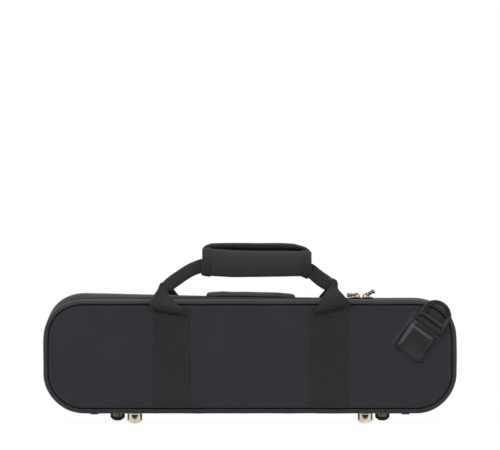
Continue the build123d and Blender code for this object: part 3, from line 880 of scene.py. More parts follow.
# ---- grip
# Heights and fatness along the grip, then its two sections as (y, share of the height).
GRIP_X = [-50.6, -48.0, -41.0, -20.0, 6.8, 33.5, 46.0, 56.0, 59.5, 62.4, 64.4]
GRIP_TOP = [181.2, 182.0, 182.0, 180.3, 179.5, 179.5, 179.4, 179.3, 178.9, 177.8, 176.4]
GRIP_BOTTOM = [154.8, 154.1, 153.2, 151.9, 152.1, 152.5, 152.8, 152.8, 151.1, 153.0, 154.2]
LIP_TOP = [182.2, 184.9, 187.0, 187.5, 187.2, 187.3, 186.6, 184.0, 182.4, 180.2, 177.4]
GRIP_FAT = [0.86, 0.93, 0.98, 1.0, 1.0, 1.0, 1.0, 0.98, 0.96, 0.94, 0.88]
FRONT_GRIP_SHAPE = [
    (-0.9, 0.0), (-3.0, 0.0), (-5.2, 0.02), (-7.0, 0.06), (-8.7, 0.13), (-10.5, 0.24), (-12.1, 0.37),
    (-13.2, 0.5), (-13.2, 0.66), (-12.5, 0.81), (-11.3, 0.925), (-9.8, 1.0), (-8.4, 0.985), (-7.0, 0.95),
    (-4.0, 0.92), (-0.9, 0.9), (-0.9, 0.78), (-4.0, 0.76), (-6.8, 0.755), (-6.9, 0.6), (-6.9, 0.35),
    (-6.0, 0.19), (-3.6, 0.12), (-0.9, 0.105),
]
REAR_GRIP_SHAPE = [
    (0.9, 0.0), (3.6, -0.005), (7.0, 0.01), (9.8, 0.04), (11.8, 0.1), (12.9, 0.2), (13.35, 0.36),
    (13.2, 0.55), (12.6, 0.74), (11.4, 0.88), (9.2, 0.965), (6.0, 1.0), (2.0, 1.005), (-2.0, 1.0),
    (-5.2, 0.985), (-6.6, 0.95), (-6.5, 0.915), (-5.2, 0.895), (-2.0, 0.885), (0.9, 0.87), (0.9, 0.7),
    (4.0, 0.69), (6.8, 0.68), (6.9, 0.5), (6.9, 0.25), (6.2, 0.13), (3.6, 0.1), (0.9, 0.095),
]
# Word, section, top, points of the section that the binding covers, and how proud it stands.
GRIPS = (
    ("front", FRONT_GRIP_SHAPE, GRIP_TOP, 14, 0.55),
    ("rear", REAR_GRIP_SHAPE, LIP_TOP, 10, 0.3),
)
GRIP_ROUND = [0.93, 0.975, 0.995]
GRIP_STATIONS = 62
GRIP_CORE_HALF = 1.2
BINDINGS = ((-50.9, -41.4, "left"), (54.6, 64.0, "right"))
BINDING_ROWS, BINDING_COLUMNS = 14, 60
FLAP_POINTS = slice(18, 37)


def grip_lean(x, z):
    """The left end stands a little further out at its foot than at its top."""
    return x + 1.1 * smooth(z, 163, 172) * smooth(-x, 38, 50)


def grip_size(x, tops):
    """Foot, height and fatness of the grip's section at x."""
    foot = np.interp(x, GRIP_X, GRIP_BOTTOM)
    return foot, np.interp(x, GRIP_X, tops) - foot, np.interp(x, GRIP_X, GRIP_FAT)


def grip_rows(shape, tops, xs, grow=0.0):
    """Grip section at each x. Grow moves it outwards, for the facing over it."""
    ring = through(shape + shape[:1], 2 * len(shape) + 1)[:-1]
    x = np.asarray(xs)[:, None]
    foot, height, fat = grip_size(x, tops)
    outer = np.abs(ring[:, 0]) > GRIP_CORE_HALF
    y = np.where(outer, ring[:, 0] * fat, ring[:, 0])
    z = foot + ring[:, 1] * height
    away = unit(np.stack([y, z - foot - height / 2], -1))
    y, z = y + grow * away[..., 0], z + grow * away[..., 1]
    push = 0.22 * ripple(x, 1.5 * y + z, 24, 71)
    return xyz(grip_lean(x, z), y + push * np.sign(y) * outer, z + 0.4 * push)


def grip_half(shape, tops):
    """Padded half of the wrap, drawn in a little at its two ends."""
    xs = np.concatenate([[-50.6, -50.2, -49.4], np.linspace(-48, 62, GRIP_STATIONS), [63.2, 64.0, 64.4]])
    squeeze = np.array(GRIP_ROUND + [1.0] * GRIP_STATIONS + GRIP_ROUND[::-1])
    rows = grip_rows(shape, tops, xs)
    centre = rows.mean(axis=1, keepdims=True)
    return centre + (rows - centre) * squeeze[:, None, None]


def flap_facing():
    """Dark facing along the rear half's flap, over its top and its front edge."""
    xs = np.concatenate([[-50.7], np.linspace(-49.5, 63.4, 56), [64.5]])
    return grip_rows(REAR_GRIP_SHAPE, LIP_TOP, xs, grow=0.22)[:, FLAP_POINTS]


def binding(shape, tops, low, high, proud):
    """Grosgrain tape sewn round the end of the grip's wrap, on its outside."""
    x, t = (np.linspace(*ends, BINDING_ROWS)[:, None] for ends in ((low, high), (-1, 1)))
    foot, height, fat = grip_size(x, tops)
    ring = through(shape, BINDING_COLUMNS)
    p = np.stack([ring[:, 0] * fat, foot + ring[:, 1] * height], -1)
    tangent = np.gradient(p, axis=1)
    normal = unit(np.stack([tangent[..., 1], -tangent[..., 0]], -1))
    centre = np.stack([0 * foot, foot + height / 2], -1)
    normal *= np.sign(((p - centre) * normal).sum(-1, keepdims=True) + TINY)
    k = np.arange(BINDING_COLUMNS)
    end = smooth(k, 0, 3) * smooth(k, BINDING_COLUMNS - 1, BINDING_COLUMNS - 4)
    roll = proud * rounded_edge(t, 5) + 0.1 * np.cos(x / 1.1 * TAU)
    wave = 0.12 * ripple(x, p[..., 1] + p[..., 0], 8, 83)
    y, z = np.moveaxis(p + normal * ((roll + wave) * end + 0.05)[..., None], -1, 0)
    return xyz(grip_lean(x, z), y, z)


for word, shape, tops, covered, proud in GRIPS:
    handle = f"{word}_handle"
    grip = solid(f"{word}_grip_padding", grip_half(shape, tops), handle, GRIP_NYLON, "grip_nylon")
    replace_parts(grip, f"{word}_grip")
    for low, high, hand in BINDINGS:
        grid = binding(shape[:covered], tops, low, high, proud)
        thicken(skin(f"{word}_{hand}_grip_binding", grid, handle, BINDING, "grip_nylon"), 0.9)

thicken(skin("rear_grip_facing", flap_facing(), "rear_handle", LIP, "grip_nylon"), 0.3)


# ---- low strip on the top edge
STRIP_HALF, STRIP_X, STRIP_Y = 46.5, 0.8, PARTING_Y + 16.5
STRIP_GAP, STRIP_ARCH = 0.25, 0.6
STRIP_ENDS = np.array([0, 0.3, 1.0, 2.2])
STRIP_THICK = (
    [-1.0, -0.99, -0.95, -0.85, 0, 0.85, 0.93, 0.99, 1.0],
    [2.4, 3.4, 4.4, 4.9, 4.7, 4.4, 3.8, 3.0, 1.8],
)
STRIP_WIDTH = ([0, 0.9, 0.98, 1.0], [20.8, 20.6, 19.2, 17.8])


def top_strip():
    inner = np.linspace(-STRIP_HALF + 4, STRIP_HALF - 4, 44)
    x = np.concatenate([STRIP_ENDS - STRIP_HALF, inner, STRIP_HALF - STRIP_ENDS[::-1]])[:, None]
    u = x / STRIP_HALF
    gap = STRIP_GAP + STRIP_ARCH * smooth(np.abs(u), 0.8, 0.6)
    thick, width = np.interp(u, *STRIP_THICK), np.interp(np.abs(u), *STRIP_WIDTH)
    across, up = np.moveaxis(oval(1.0, 1.0, 52, 5.5) * np.stack([width, thick], -1), -1, 0)
    y = STRIP_Y + across
    z = TOP_Z + gap + thick / 2 + up + 0.3 * ripple(x, y, 18, 91) * (up > 0)
    return settle(xyz(x + STRIP_X, y, z))


strip = solid("top_strip_cover", top_strip(), "base", STRIP_WEB, "webbing")
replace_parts(strip, "top_strip")


# ---- leather patch and webbing tab
PATCH_X, PATCH_Z, PATCH_TURN = END_X - 42.4, TOP_Z - 43.3, math.radians(34.9)
PATCH_W, PATCH_L, PATCH_CORNER, PATCH_POINTS = 36.2, 36.8, 4.8, 56
PATCH_LOW, PATCH_RISE, TAB_RISE, PATCH_LIP, SEAM_DEPTH = 1.9, 2.5, 2.2, 0.35, 0.25
PATCH_THICK, PATCH_OFF_FACE = 1.3, 0.1
# Where each rise of the leather begins and ends.
RIM_SLOPE, LIP_SLOPE, FOOT_SLOPE, FOOT_SHARE = (2.6, 8.6), (0.0, 1.1), (-14, 10), 0.3
TAB_SLOPE, TAB_SIDE_SLOPE = (12.0, 17.0), (-14.0, -11.5)
SEAM_ALONG, SEAM_HALF = 14.6, 12.5
PATCH_STITCH, PATCH_PITCH, PATCH_STITCH_INSET, PATCH_STITCH_LIFT = (1.7, 0.62), 3.1, 2.1, 0.3
# Corners of the backing as (across, along) with their radii, then its rows as (share, lift).
BACKING = [
    ((-19.8, -19.2), 4.8), ((18.4, -19.2), 4.8), ((18.4, 20.5), 5.0), ((8.0, 25.0), 5.0),
    ((-19.8, 26.6), 4.0),
]
BACKING_ROWS = (
    (0.3, -0.2), (1.0, -0.2), (1.0, 0.6), (0.985, 0.85), (0.95, 0.95), (0.9, 0.9), (0.6, 0.9), (0.3, 0.9),
)
ROOM_UNDER_LOOP = 0.55
LOOP_OFFSET = 1.1
BAR_ALONG, BAR_LIFT = 21.6, 3.0
TAB_RADIUS, TAB_HALF, TAB_RIB, TAB_RIB_PITCH = 2.95, 12.4, 0.11, 1.7
# The tab's two ends beside the bar, as (along, lift).
TAB_UNDER, TAB_OVER = [(13.5, 0.6), (16.5, 0.6)], [(18.2, 2.7), (15.6, 2.1), (13.0, 1.8)]


def on_patch(across, along, lift, side):
    """Points from the patch's own axes. The rear patch is the front one turned half round."""
    c, s = math.cos(PATCH_TURN), math.sin(PATCH_TURN)
    x, z = PATCH_X + c * across + s * along, PATCH_Z - s * across + c * along
    return xyz(x, PARTING_Y - (DEPTH[FRONT] + PATCH_OFF_FACE + lift), z) * np.array([-side, -side, 1])


def patch_height(v, u):
    """Leather lies flat at its rim and rides over the doubled webbing in the middle."""
    rim = np.minimum(PATCH_W / 2 - np.abs(v), PATCH_L / 2 - np.abs(u))
    on_tab = smooth(-np.abs(v - LOOP_OFFSET), *TAB_SIDE_SLOPE)
    over_tab = TAB_RISE * smooth(u, *TAB_SLOPE) * on_tab
    plateau = np.maximum(PATCH_RISE * smooth(rim, *RIM_SLOPE), over_tab)
    plateau = plateau * (1 - FOOT_SHARE + FOOT_SHARE * smooth(u, *FOOT_SLOPE))
    seam = SEAM_DEPTH * bell(u - SEAM_ALONG, 0.5) * on_tab
    lip = PATCH_LIP * smooth(rim, *LIP_SLOPE)
    return PATCH_LOW + lip + plateau - seam + 0.1 * ripple(v, u, 16, 17)


def patch_grid(side):
    half_w, half_l = PATCH_W / 2, PATCH_L / 2
    t = np.linspace(-1, 1, PATCH_POINTS)
    v, u = np.meshgrid(t * half_w, t * half_l, indexing="ij")
    return on_patch(*round_corners(v, u, half_w, half_l, PATCH_CORNER), patch_height(v, u), side)


def patch_seats(side):
    """Stitches along the patch's left, foot and right, and along the seam over the tab."""
    w, l = PATCH_W / 2 - PATCH_STITCH_INSET, PATCH_L / 2 - PATCH_STITCH_INSET
    lines = [((-w, 1 - l), (-w, l - 1)), ((1 - w, -l), (w - 1, -l)), ((w, 1 - l), (w, l - 1))]
    lines += [((LOOP_OFFSET - SEAM_HALF, SEAM_ALONG), (LOOP_OFFSET + SEAM_HALF, SEAM_ALONG))]
    seats = []
    for start, end in lines:
        v, u = np.linspace(start, end, 20).T
        line = on_patch(v, u, patch_height(v, u) + PATCH_STITCH_LIFT, side)
        seats += along_line(line, PATCH_PITCH, (0, side, 0))
    return seats


def backing_grid(side):
    """Leather backing that shows as a flange round the patch and runs on up under the loop."""
    t = np.linspace(0, 1, 9)[:, None]
    ring = []
    for k, (corner, radius) in enumerate(BACKING):
        here = np.array(corner)
        a = here + radius * unit(np.array(BACKING[k - 1][0]) - here)
        b = here + radius * unit(np.array(BACKING[(k + 1) % len(BACKING)][0]) - here)
        ring.append((1 - t) ** 2 * a + 2 * t * (1 - t) * here + t**2 * b)
    ring = np.concatenate(ring)
    middle = ring.mean(axis=0)
    share, lift = np.array(BACKING_ROWS).T[..., None]
    across, along = np.moveaxis(middle + (ring - middle) * share[..., None], -1, 0)
    room = ROOM_UNDER_LOOP * smooth(along, 14.5, 17.5) * (lift > 0)
    return on_patch(across, along, lift - room, side)


def tab_grid(side):
    """Webbing tab that comes up from under the leather, round the bar and back."""
    turn = np.radians(np.linspace(-150, 120, 30))
    bend = np.stack([BAR_ALONG + TAB_RADIUS * np.cos(turn), BAR_LIFT + TAB_RADIUS * np.sin(turn)], 1)
    path = np.concatenate([TAB_UNDER, bend, TAB_OVER])
    tangent = np.gradient(path, axis=0)
    normal = unit(np.stack([-tangent[:, 1], tangent[:, 0]], 1))
    across = np.linspace(-TAB_HALF, TAB_HALF, 53)
    ribs = TAB_RIB * np.cos(across / TAB_RIB_PITCH * TAU)
    p = path[:, None] - normal[:, None] * ribs[:, None]
    return on_patch(LOOP_OFFSET + across, p[..., 0], p[..., 1], side)


for side, word, body in SIDES:
    leather = skin(f"{word}_patch_leather", patch_grid(side), body, LEATHER, "leather")
    weld(leather)
    thicken(leather, PATCH_THICK, inward(leather, side))
    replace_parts(leather, f"{word}_patch")
    # The backing's lighter leather is a painted highlight on the flange's edges.
    solid(f"{word}_patch_backing", backing_grid(side), body, FLANGE_LIT, "leather")
    stitches = threads(patch_seats(side), *PATCH_STITCH)
    solids(f"{word}_patch_stitching", stitches, body, DARK_THREAD, "leather")

for side, word, body in SIDES:
    tab = skin(f"{word}_tab_webbing", tab_grid(side), body, WEBBING, "webbing")
    thicken(tab, 1.0)
    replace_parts(tab, f"{word}_tab")


# ---- strap loop
LOOP_HALF, LOOP_LOW, LOOP_HIGH, LOOP_SHOULDER = 16.0, 19.85, 49.85, 38.33
LOOP_RING, LOOP_ARM = 5.0, 3.0
ARM_TAPER, ARM_TAPER_RUN, SLOT_BLEND = 0.9, 2.2, 0.6
SLOT_HIGH, EYE_LOW = 25.7, 30.0
ARM_ROWS, ARCH_ROWS = 15, 41
# Section of the frame from its outer to its inner edge, as (share of the width, lift).
LOOP_SECTION = np.array([
    (0.03, -1.6), (0.0, -1.2), (0.0, 0.7), (0.05, 1.3), (0.16, 1.7), (0.36, 1.72), (0.48, 1.45),
    (0.56, 1.12), (0.86, 1.02), (0.96, 0.85), (1.0, 0.5), (1.0, -1.2), (0.97, -1.6), (0.5, -1.75),
])
BAR_REACH = 14.0


def loop_outline(half, high):
    """Up the left arm, over the top and down the right arm, as (across, along)."""
    rise = high - LOOP_SHOULDER
    radius = (half**2 + rise**2) / (2 * rise)
    centre = high - radius
    start = math.atan2(LOOP_SHOULDER - centre, -half)
    angle = np.linspace(start, math.pi - start, ARCH_ROWS)
    arch = np.stack([radius * np.cos(angle), centre + radius * np.sin(angle)], 1)
    arm = np.stack([np.full(ARM_ROWS, -half), np.linspace(LOOP_LOW, LOOP_SHOULDER, ARM_ROWS)], 1)
    return np.concatenate([arm[:-1], arch, (arm[::-1] * np.array([-1, 1]))[1:]])


def loop_frame(side):
    """Frame that is narrower beside the slot, with arms that taper at their feet."""
    outer = loop_outline(LOOP_HALF, LOOP_HIGH)
    inner = loop_outline(LOOP_HALF - LOOP_RING, LOOP_HIGH - LOOP_RING)
    beside_slot = smooth(inner[:, 1], EYE_LOW - SLOT_BLEND, SLOT_HIGH - SLOT_BLEND)
    inner[:, 0] += np.sign(inner[:, 0]) * beside_slot * (LOOP_RING - LOOP_ARM)
    foot = smooth(outer[:, 1], LOOP_LOW + ARM_TAPER_RUN, LOOP_LOW)
    outer[:, 0] -= np.sign(outer[:, 0]) * ARM_TAPER * foot**2
    share, lift = LOOP_SECTION.T
    flat = outer[:, None] + (inner - outer)[:, None] * share[:, None]
    return on_patch(LOOP_OFFSET + flat[..., 0], flat[..., 1], BAR_LIFT + lift, side)


def cross_bar(side, along, width, height, lift=0.0, bow=0.0):
    """Bar of the strap loop from arm to arm."""
    at = np.linspace(-BAR_REACH, BAR_REACH, 25)[:, None]
    across, up = oval(width, height, 20, 2.6).T
    along = along + bow * (1 - (at / BAR_REACH) ** 2) + across
    return on_patch(LOOP_OFFSET + at, along, BAR_LIFT + lift + up, side)


for side, word, _ in SIDES:
    grids = [
        loop_frame(side),
        cross_bar(side, (SLOT_HIGH + EYE_LOW) / 2, EYE_LOW - SLOT_HIGH, 2.9, lift=-0.1, bow=0.25),
        cross_bar(side, BAR_ALONG, 3.0, 3.0),
    ]
    piece = solids(f"{word}_strap_loop", grids, f"{word}_loop", PLASTIC, "loop_plastic")
    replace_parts(piece, f"{word}_loop")


# ---- zip sliders and pulls
SLIDER_X = {"left": END_X - 102.8, "right": END_X - 92.4}
SLIDER_Z = TOP_Z + 0.85
PULL_RISE, PULL_LENGTH, PULL_ROLL = 3.3, 9.7, math.radians(18)
BRIDGE = [
    (-3.3, 0, 1.0), (-2.9, 0, 3.0), (-1.7, 0, 4.5), (0, 0, 4.95), (1.7, 0, 4.5), (2.9, 0, 3.0),
    (3.3, 0, 1.0),
]
# Size, edge radius and place of each box. The slider's nose points along the zip.
PLATE_TAPER, PLATE_TAPER_X = 0.22, (0.5, 5.0)
PLATE = ((11.9, 7.2, 1.4), 0.6, (-1.0, 0, 0.8))
WINGS = (((7.4, 2.6, 2.1), 0.65, (-0.9, -3.0, 0.85)), ((7.4, 2.6, 2.1), 0.65, (-0.9, 3.0, 0.85)))
SHOE = ((7.6, 0.9, 2.6), 0.4, (0, 3.9, -0.45))
PULL_BOXES = (
    ((5.6, 1.4, 2.3), 0.5, (2.6, -2.05, 0)),
    ((5.6, 1.4, 2.3), 0.5, (2.6, 2.05, 0)),
    ((1.4, 5.4, 2.5), 0.5, (5.2, 0, 0)),
    ((3.0, 4.6, 2.1), 0.5, (6.6, 0, 0)),
    ((3.0, 5.4, 3.1), 0.8, (PULL_LENGTH - 1.5, 0, 0)),
)


def slider_grids(x, nose):
    """Plate over the coil, two shoulders, the shoe and the arched bridge for the pull."""
    facing = np.array([nose, 1, 1])
    grids = [rounded_box(size, radius) + place * facing for size, radius, place in (PLATE, *WINGS, SHOE)]
    plate = rounded_box(*PLATE[:2])
    plate[..., 1] *= 1 - PLATE_TAPER * smooth(plate[..., 0] * nose, *PLATE_TAPER_X)
    grids[0] = plate + PLATE[2] * facing
    grids.append(sweep(through(BRIDGE, 25), oval(2.7, 1.5, 16, 3.0), (1e-3, 0, 1)))
    return [g + np.array([x, PARTING_Y, SLIDER_Z]) for g in grids]


def pull_grids(x, angle):
    """Ring that hangs in the bridge, its two arms and the block at the end."""
    bar = xyz(0.0, np.linspace(-2.7, 2.7, 9), 0.0)
    grids = [sweep(bar, oval(1.4, 1.4, 16), (0, 0, 1))]
    grids += [rounded_box(size, radius) + place for size, radius, place in PULL_BOXES]
    c, s = math.cos(angle), math.sin(angle)
    roll = PULL_ROLL * math.copysign(1, c)
    rc, rs = math.cos(roll), math.sin(roll)
    turn = np.array([[c, -s * rs, -s * rc], [0, rc, -rs], [s, c * rs, c * rc]])
    return [g @ turn.T + np.array([x, PARTING_Y, SLIDER_Z + PULL_RISE]) for g in grids]


for hand, nose, angle in (("left", 1, math.pi), ("right", -1, math.radians(28))):
    x = SLIDER_X[hand]
    grids = slider_grids(x, nose)
    piece = solids(f"{hand}_slider_casting", grids, f"{hand}_slider", ZIP_METAL, "zip_metal")
    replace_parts(piece, f"{hand}_zip_slider")
    grids = pull_grids(x, angle)
    piece = solids(f"{hand}_pull_casting", grids, f"{hand}_pull", ZIP_METAL, "zip_metal")
    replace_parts(piece, f"{hand}_zip_pull")


# ---- feet
FOOT_FROM_FACE = 14.0
FOOT_FROM_END = {FRONT: 94.0, REAR: 74.0}
FOOT_PROFILE = [
    (1.2, 0.02), (2.8, 0.0), (3.3, 0.12), (5.2, 1.1), (6.8, 2.5), (7.4, 3.2), (7.66, 3.9), (7.7, 4.4),
    (7.7, 4.6), (7.7, 4.9), (7.7, 9.5), (7.7, 9.8), (7.7, 10.0), (7.85, 10.2), (7.95, 10.45), (7.95, 10.8),
    (7.8, 11.05), (7.3, 11.25),
]
# The rear feet take the darker copy of the nickel: painted shade under the case.
FOOT_METAL = {FRONT: NICKEL, REAR: SHADED_NICKEL}
for side, word, body in SIDES:
    for sign, hand in HANDS:
        place = np.array([sign * (END_X - FOOT_FROM_END[side]), side * (FACE_Y - FOOT_FROM_FACE), 0])
        grid = lathe(FOOT_PROFILE) + place
        foot = solid(f"{word}_{hand}_foot_shell", grid, body, FOOT_METAL[side], "nickel")
        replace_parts(foot, f"{word}_{hand}_foot")


# ---- inside
LINING = [
    (1.45, 0.6), (1.6, 0.3), (2.2, 0.16), (3.4, 0.1), (5.2, 0.08), (7.4, 0.09), (8.5, 0.1),
    (8.84, 0.25), (8.9, 0.8), (8.92, 3.0),
]
LINING_DEPTH = {FRONT: (8.92, 13.0), REAR: (8.92, 5.6)}
LINING_THICK = 0.12
INSERT_INSET, PAD_CLEARANCE = 9.1, 0.2
INSERT_BELOW_PARTING, INSERT_SKIRT = 4.1, 7.0
PAD_Y, PAD_SKIRT = -14.3, -6.0
CLEAR_RIM = 40.0
# Height and reach of the soft rims, and of the sewn channel in the lid's cushion.
RECESS_RIM, INSERT_RIM, PAD_RIM, CHANNEL = (0.9, 1.6), (1.2, 1.8), (2.2, 2.4), (1.1, 1.6)
# Recesses as (x from, x to, z of the middle, width, depth).
SHELL = 9.0
REACH = END_X - SHELL - 17.0
UPPER_Z, LOWER_Z = TOP_Z - SHELL - 11.0 - 17.0, BASE_Z + 24.2 + SHELL
FOOT_START = REACH - 140.0
RECESSES = [
    (-REACH, REACH, UPPER_Z, 34.0, 24.0),
    (FOOT_START, REACH - 0.1, LOWER_Z, 34.0, 24.0),
    (-REACH, FOOT_START - 12.0, LOWER_Z, 26.0, 24.0),
    (42.0 - REACH, 90.0 - REACH, LOWER_Z, 38.0, 23.9),
]


def lining(side):
    """Plush that wraps from the inner wall over the rim to the zip tape."""
    profile = LINING + [LINING_DEPTH[side]]
    still = carried(profile, side)
    hold = smooth([inset for inset, _ in profile], 1.6, 4.6)[:, None]
    return settle(still) * (1 - hold) + still * hold


def rounded_sheet(inset, columns, rows):
    """Grid over the inside of the case as x and z, with the distance from its edge."""
    half_x, half_z = END_X - inset, (TOP_Z - BASE_Z) / 2 - inset
    across, up = np.linspace(-half_x, half_x, columns), np.linspace(-half_z, half_z, rows)
    x, z = np.meshgrid(across, up, indexing="ij")
    x, z = round_corners(x, z, half_x, half_z, CORNER - inset)
    edge = np.minimum(END_X - INSERT_INSET - np.abs(x), HALF_HEIGHT - INSERT_INSET - np.abs(z))
    return x, z + CENTRE_Z, edge


def skirted(x, y, z, depth):
    """Sheet with its rim drawn back by a depth along y."""
    grid = np.pad(xyz(x, y, z), ((1, 1), (1, 1), (0, 0)), mode="edge")
    skirt = np.ones(grid.shape[:2], bool)
    skirt[1:-1, 1:-1] = False
    grid[..., 1] += depth * skirt
    return grid


def soft_rim(distance, rim):
    height, reach = rim
    return height * np.exp(-distance / reach)


def insert_cover():
    """Plush over the block that holds the joints, sunk into its recesses with soft rims."""
    x, z, edge = rounded_sheet(INSERT_INSET, 330, 96)
    depth, rim = np.zeros_like(x), np.full_like(x, CLEAR_RIM)
    for low, high, middle, width, deep in RECESSES:
        off = np.abs(z - middle)
        inside = np.minimum(width / 2 - off, np.minimum(x - low, high - x))
        bowl = deep - width / 2 + np.sqrt(np.clip((width / 2) ** 2 - off**2, 0, None))
        depth = np.maximum(depth, np.where(inside > 0, bowl * smooth(inside, 0, 1.5), 0))
        rim = np.minimum(rim, np.abs(inside))
    level = depth < 1
    soft = soft_rim(rim, RECESS_RIM) * level + soft_rim(edge, INSERT_RIM) + 0.14 * ripple(x, z, 40, 61)
    return skirted(x, PARTING_Y + INSERT_BELOW_PARTING + depth + soft * level, z, INSERT_SKIRT)


def lid_pad_cover():
    """Plush cushion with one sewn channel along it."""
    x, z, edge = rounded_sheet(INSERT_INSET + PAD_CLEARANCE, 150, 60)
    channel = CHANNEL[0] * bell(z - CENTRE_Z, CHANNEL[1]) * smooth(edge, 4, 14)
    y = PAD_Y - soft_rim(edge, PAD_RIM) + 0.35 * ripple(x, z, 60, 67) - channel
    return skirted(x, y, z, PAD_SKIRT)[::-1]


for side, word in ((FRONT, "lid"), (REAR, "base")):
    rim = skin(f"{word}_lining", lining(side), word, PLUSH, "plush", wrap_i=True)
    thicken(rim, LINING_THICK)
    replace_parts(rim, f"{word}_padding")
cover = skin("insert_plush", insert_cover(), "base", PLUSH, "plush")
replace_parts(cover, "joint_insert")
cover = skin("lid_pad_plush", lid_pad_cover(), "lid", PLUSH, "plush")
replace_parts(cover, "lid_pad")


# ---- zip ends and grip fasteners
END_TAB_SIZE, END_TAB_RADIUS, END_TAB_Y, END_TAB_Z = (8.6, 4.6, 1.7), 0.75, PARTING_Y + 3.7, BASE_Z - 1.65
END_STITCH, END_PITCH, END_ROW_X, END_ROW_Y, END_ROW_Z = (1.5, 0.25), 2.0, 4.0, 1.4, BASE_Z - 2.55
FASTENER_SIZE, FASTENER_X, FASTENER_Y, FASTENER_Z = (86.0, 0.66, 6.0), 6.8, 0.5, 175.6

# Folded ends of the zip, sewn down under the case where the hinge begins.
grids, seats = [], []
for sign, _ in HANDS:
    tab = rounded_box(END_TAB_SIZE, END_TAB_RADIUS)
    tab[..., 2] += 0.15 * np.cos(tab[..., 0] * 1.1)
    grids.append(tab + [sign * ZIP_END_X, END_TAB_Y, END_TAB_Z])
    for y in (END_TAB_Y - END_ROW_Y, END_TAB_Y + END_ROW_Y):
        line = [(sign * ZIP_END_X + x, y, END_ROW_Z) for x in (-END_ROW_X, END_ROW_X)]
        seats += along_line(line, END_PITCH, (0, 0, -1))
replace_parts(solids("zip_end_folds", grids, "base", TAPE, "nylon"), "zip_end_tabs")
solids("zip_end_stitching", threads(seats, *END_STITCH), "base", THREAD, "nylon")

for side, word, _ in SIDES:
    tape = rounded_box(FASTENER_SIZE, 0.3, 4)
    tape[..., 1] += 0.05 * side * np.cos(tape[..., 0])
    tape = tape + [FASTENER_X, side * FASTENER_Y, FASTENER_Z]
    piece = solid(f"{word}_grip_tape", tape, f"{word}_handle", HOOKS, "hook_and_loop")
    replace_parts(piece, f"{word}_grip_fastener")


# ---- carried-over CAD nodes
PAINT = {
    "base_shell": PLYWOOD, "lid_shell": PLYWOOD, "front_foot_nuts": STEEL, "rear_foot_nuts": STEEL,
}
for node, mat in PAINT.items():
    materials = frame["nodes"][node].data.materials
    materials.clear()
    materials.append(mat)


# ---- floor, light and camera, in metres
FLOOR_HALF, FLOOR_GREY, FLOOR_GLOW, FLOOR_SEEN = 6.0, 0.6, 1.12, 0.86
# Metal sees a bright strip of floor before the case, shaded under it and dim further out.
STRIP_FROM_Y, STRIP_DIM = (-0.092, -0.085), 0.04
STRIP_TO_Y, STRIP_SHADED = (-0.022, -0.010), 0.12
WORLD_LIGHT = 0.34
# Reflections: dark room behind the viewer, soft boxes at the sides, dark behind the case.
ROOM = ((0.0, 0.05), (0.1, 0.07), (0.2, 0.95), (0.62, 0.8), (0.8, 0.1), (1.0, 0.16))
# Name, place, aim, size and watts of each lamp.
LAMPS = (
    ("key", (-0.9, -1.5, 1.5), (0, 0, 0.08), (1.2, 0.8), 12.5),
    ("fill", (1.3, -1.3, 0.9), (0, 0, 0.08), (1.0, 0.8), 5.5),
    ("top", (0, 0.3, 1.6), (0, 0, 0.1), (1.6, 0.8), 7),
)
CAMERA_PLACE, CAMERA_LENS, CAMERA_SENSOR, CAMERA_CLIP = (0, -2.433, 0.2067), 166.8, 36.0, 50.0
WHITE = (1, 1, 1, 1)


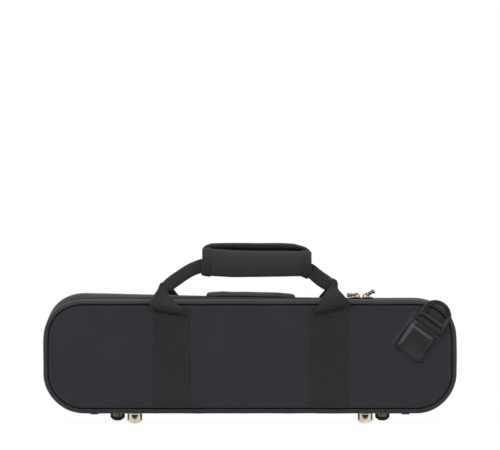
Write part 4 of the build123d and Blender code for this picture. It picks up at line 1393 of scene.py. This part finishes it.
def floor():
    h = FLOOR_HALF
    mesh = bpy.data.meshes.new("floor")
    mesh.from_pydata([(-h, -h, 0), (h, -h, 0), (h, h, 0), (-h, h, 0)], [], [(0, 1, 2, 3)])
    obj = show("floor", mesh)
    n = Nodes("white_floor")
    path = n.node("ShaderNodeLightPath").outputs
    bsdf = n.tree.nodes["Principled BSDF"]
    bsdf.inputs["Base Color"].default_value = (FLOOR_GREY, FLOOR_GREY, FLOOR_GREY, 1)
    bsdf.inputs["Roughness"].default_value = 0.9
    y = n.split(n.place())[1]
    near, under = n.remap(y, *STRIP_FROM_Y, STRIP_DIM, 1.0), n.remap(y, *STRIP_TO_Y, 1.0, STRIP_SHADED)
    dim = n.math("SUBTRACT", 1.0, n.math("MULTIPLY", near, under))
    dim = n.math("MULTIPLY", path["Is Glossy Ray"], dim)
    glow = n.node("ShaderNodeEmission")
    glow.inputs["Color"].default_value = WHITE
    n.link(n.math("MULTIPLY", n.math("SUBTRACT", 1.0, dim), FLOOR_GLOW), glow.inputs["Strength"])
    seen = n.math("MAXIMUM", path["Is Glossy Ray"], path["Is Transmission Ray"])
    seen = n.math("MAXIMUM", seen, n.math("MULTIPLY", path["Is Camera Ray"], FLOOR_SEEN))
    blend = n.node("ShaderNodeMixShader")
    for socket, value in zip(blend.inputs, (seen, bsdf.outputs[0], glow.outputs[0])):
        n.link(value, socket)
    n.link(blend.outputs[0], n.tree.nodes["Material Output"].inputs[0])
    mesh.materials.append(n.block)


def world():
    n = Nodes("studio", "worlds")
    bpy.context.scene.world = n.block
    path = n.node("ShaderNodeLightPath").outputs
    y = n.split(n.node("ShaderNodeTexCoord").outputs["Generated"])[1]
    ramp = n.node("ShaderNodeValToRGB")
    n.link(n.remap(y, -1.0, 1.0, 0.0, 1.0), ramp.inputs[0])
    elements = ramp.color_ramp.elements
    while len(elements) < len(ROOM):
        elements.new(0.5)
    for element, (at, _) in zip(elements, ROOM):
        element.position = at
    for element, (_, shade) in zip(elements, ROOM):
        element.color = (shade, shade, shade, 1)
    level = n.remap(path["Is Glossy Ray"], 0.0, 1.0, WORLD_LIGHT, ramp.outputs[0])
    white = n.math("MAXIMUM", path["Is Camera Ray"], path["Is Transmission Ray"])
    background = n.tree.nodes["Background"]
    background.inputs["Color"].default_value = WHITE
    n.link(n.math("MAXIMUM", level, white), background.inputs["Strength"])


def lamps():
    for name, place, aim, size, watts in LAMPS:
        light = bpy.data.lights.new(name, "AREA")
        light.shape = "RECTANGLE"
        light.size, light.size_y = size
        light.energy = watts
        lamp = show(name, light)
        lamp.location = place
        lamp.rotation_mode = "QUATERNION"
        lamp.rotation_quaternion = (Vector(aim) - Vector(place)).to_track_quat("-Z", "Y")


def camera():
    data = bpy.data.cameras.new("camera")
    data.lens = CAMERA_LENS
    data.sensor_width = CAMERA_SENSOR
    data.clip_end = CAMERA_CLIP
    obj = show("camera", data)
    obj.location = CAMERA_PLACE
    obj.rotation_euler = (math.pi / 2, 0, 0)
    bpy.context.scene.camera = obj


floor()
world()
lamps()
camera()
bpy.context.scene.view_settings.view_transform = "Standard"
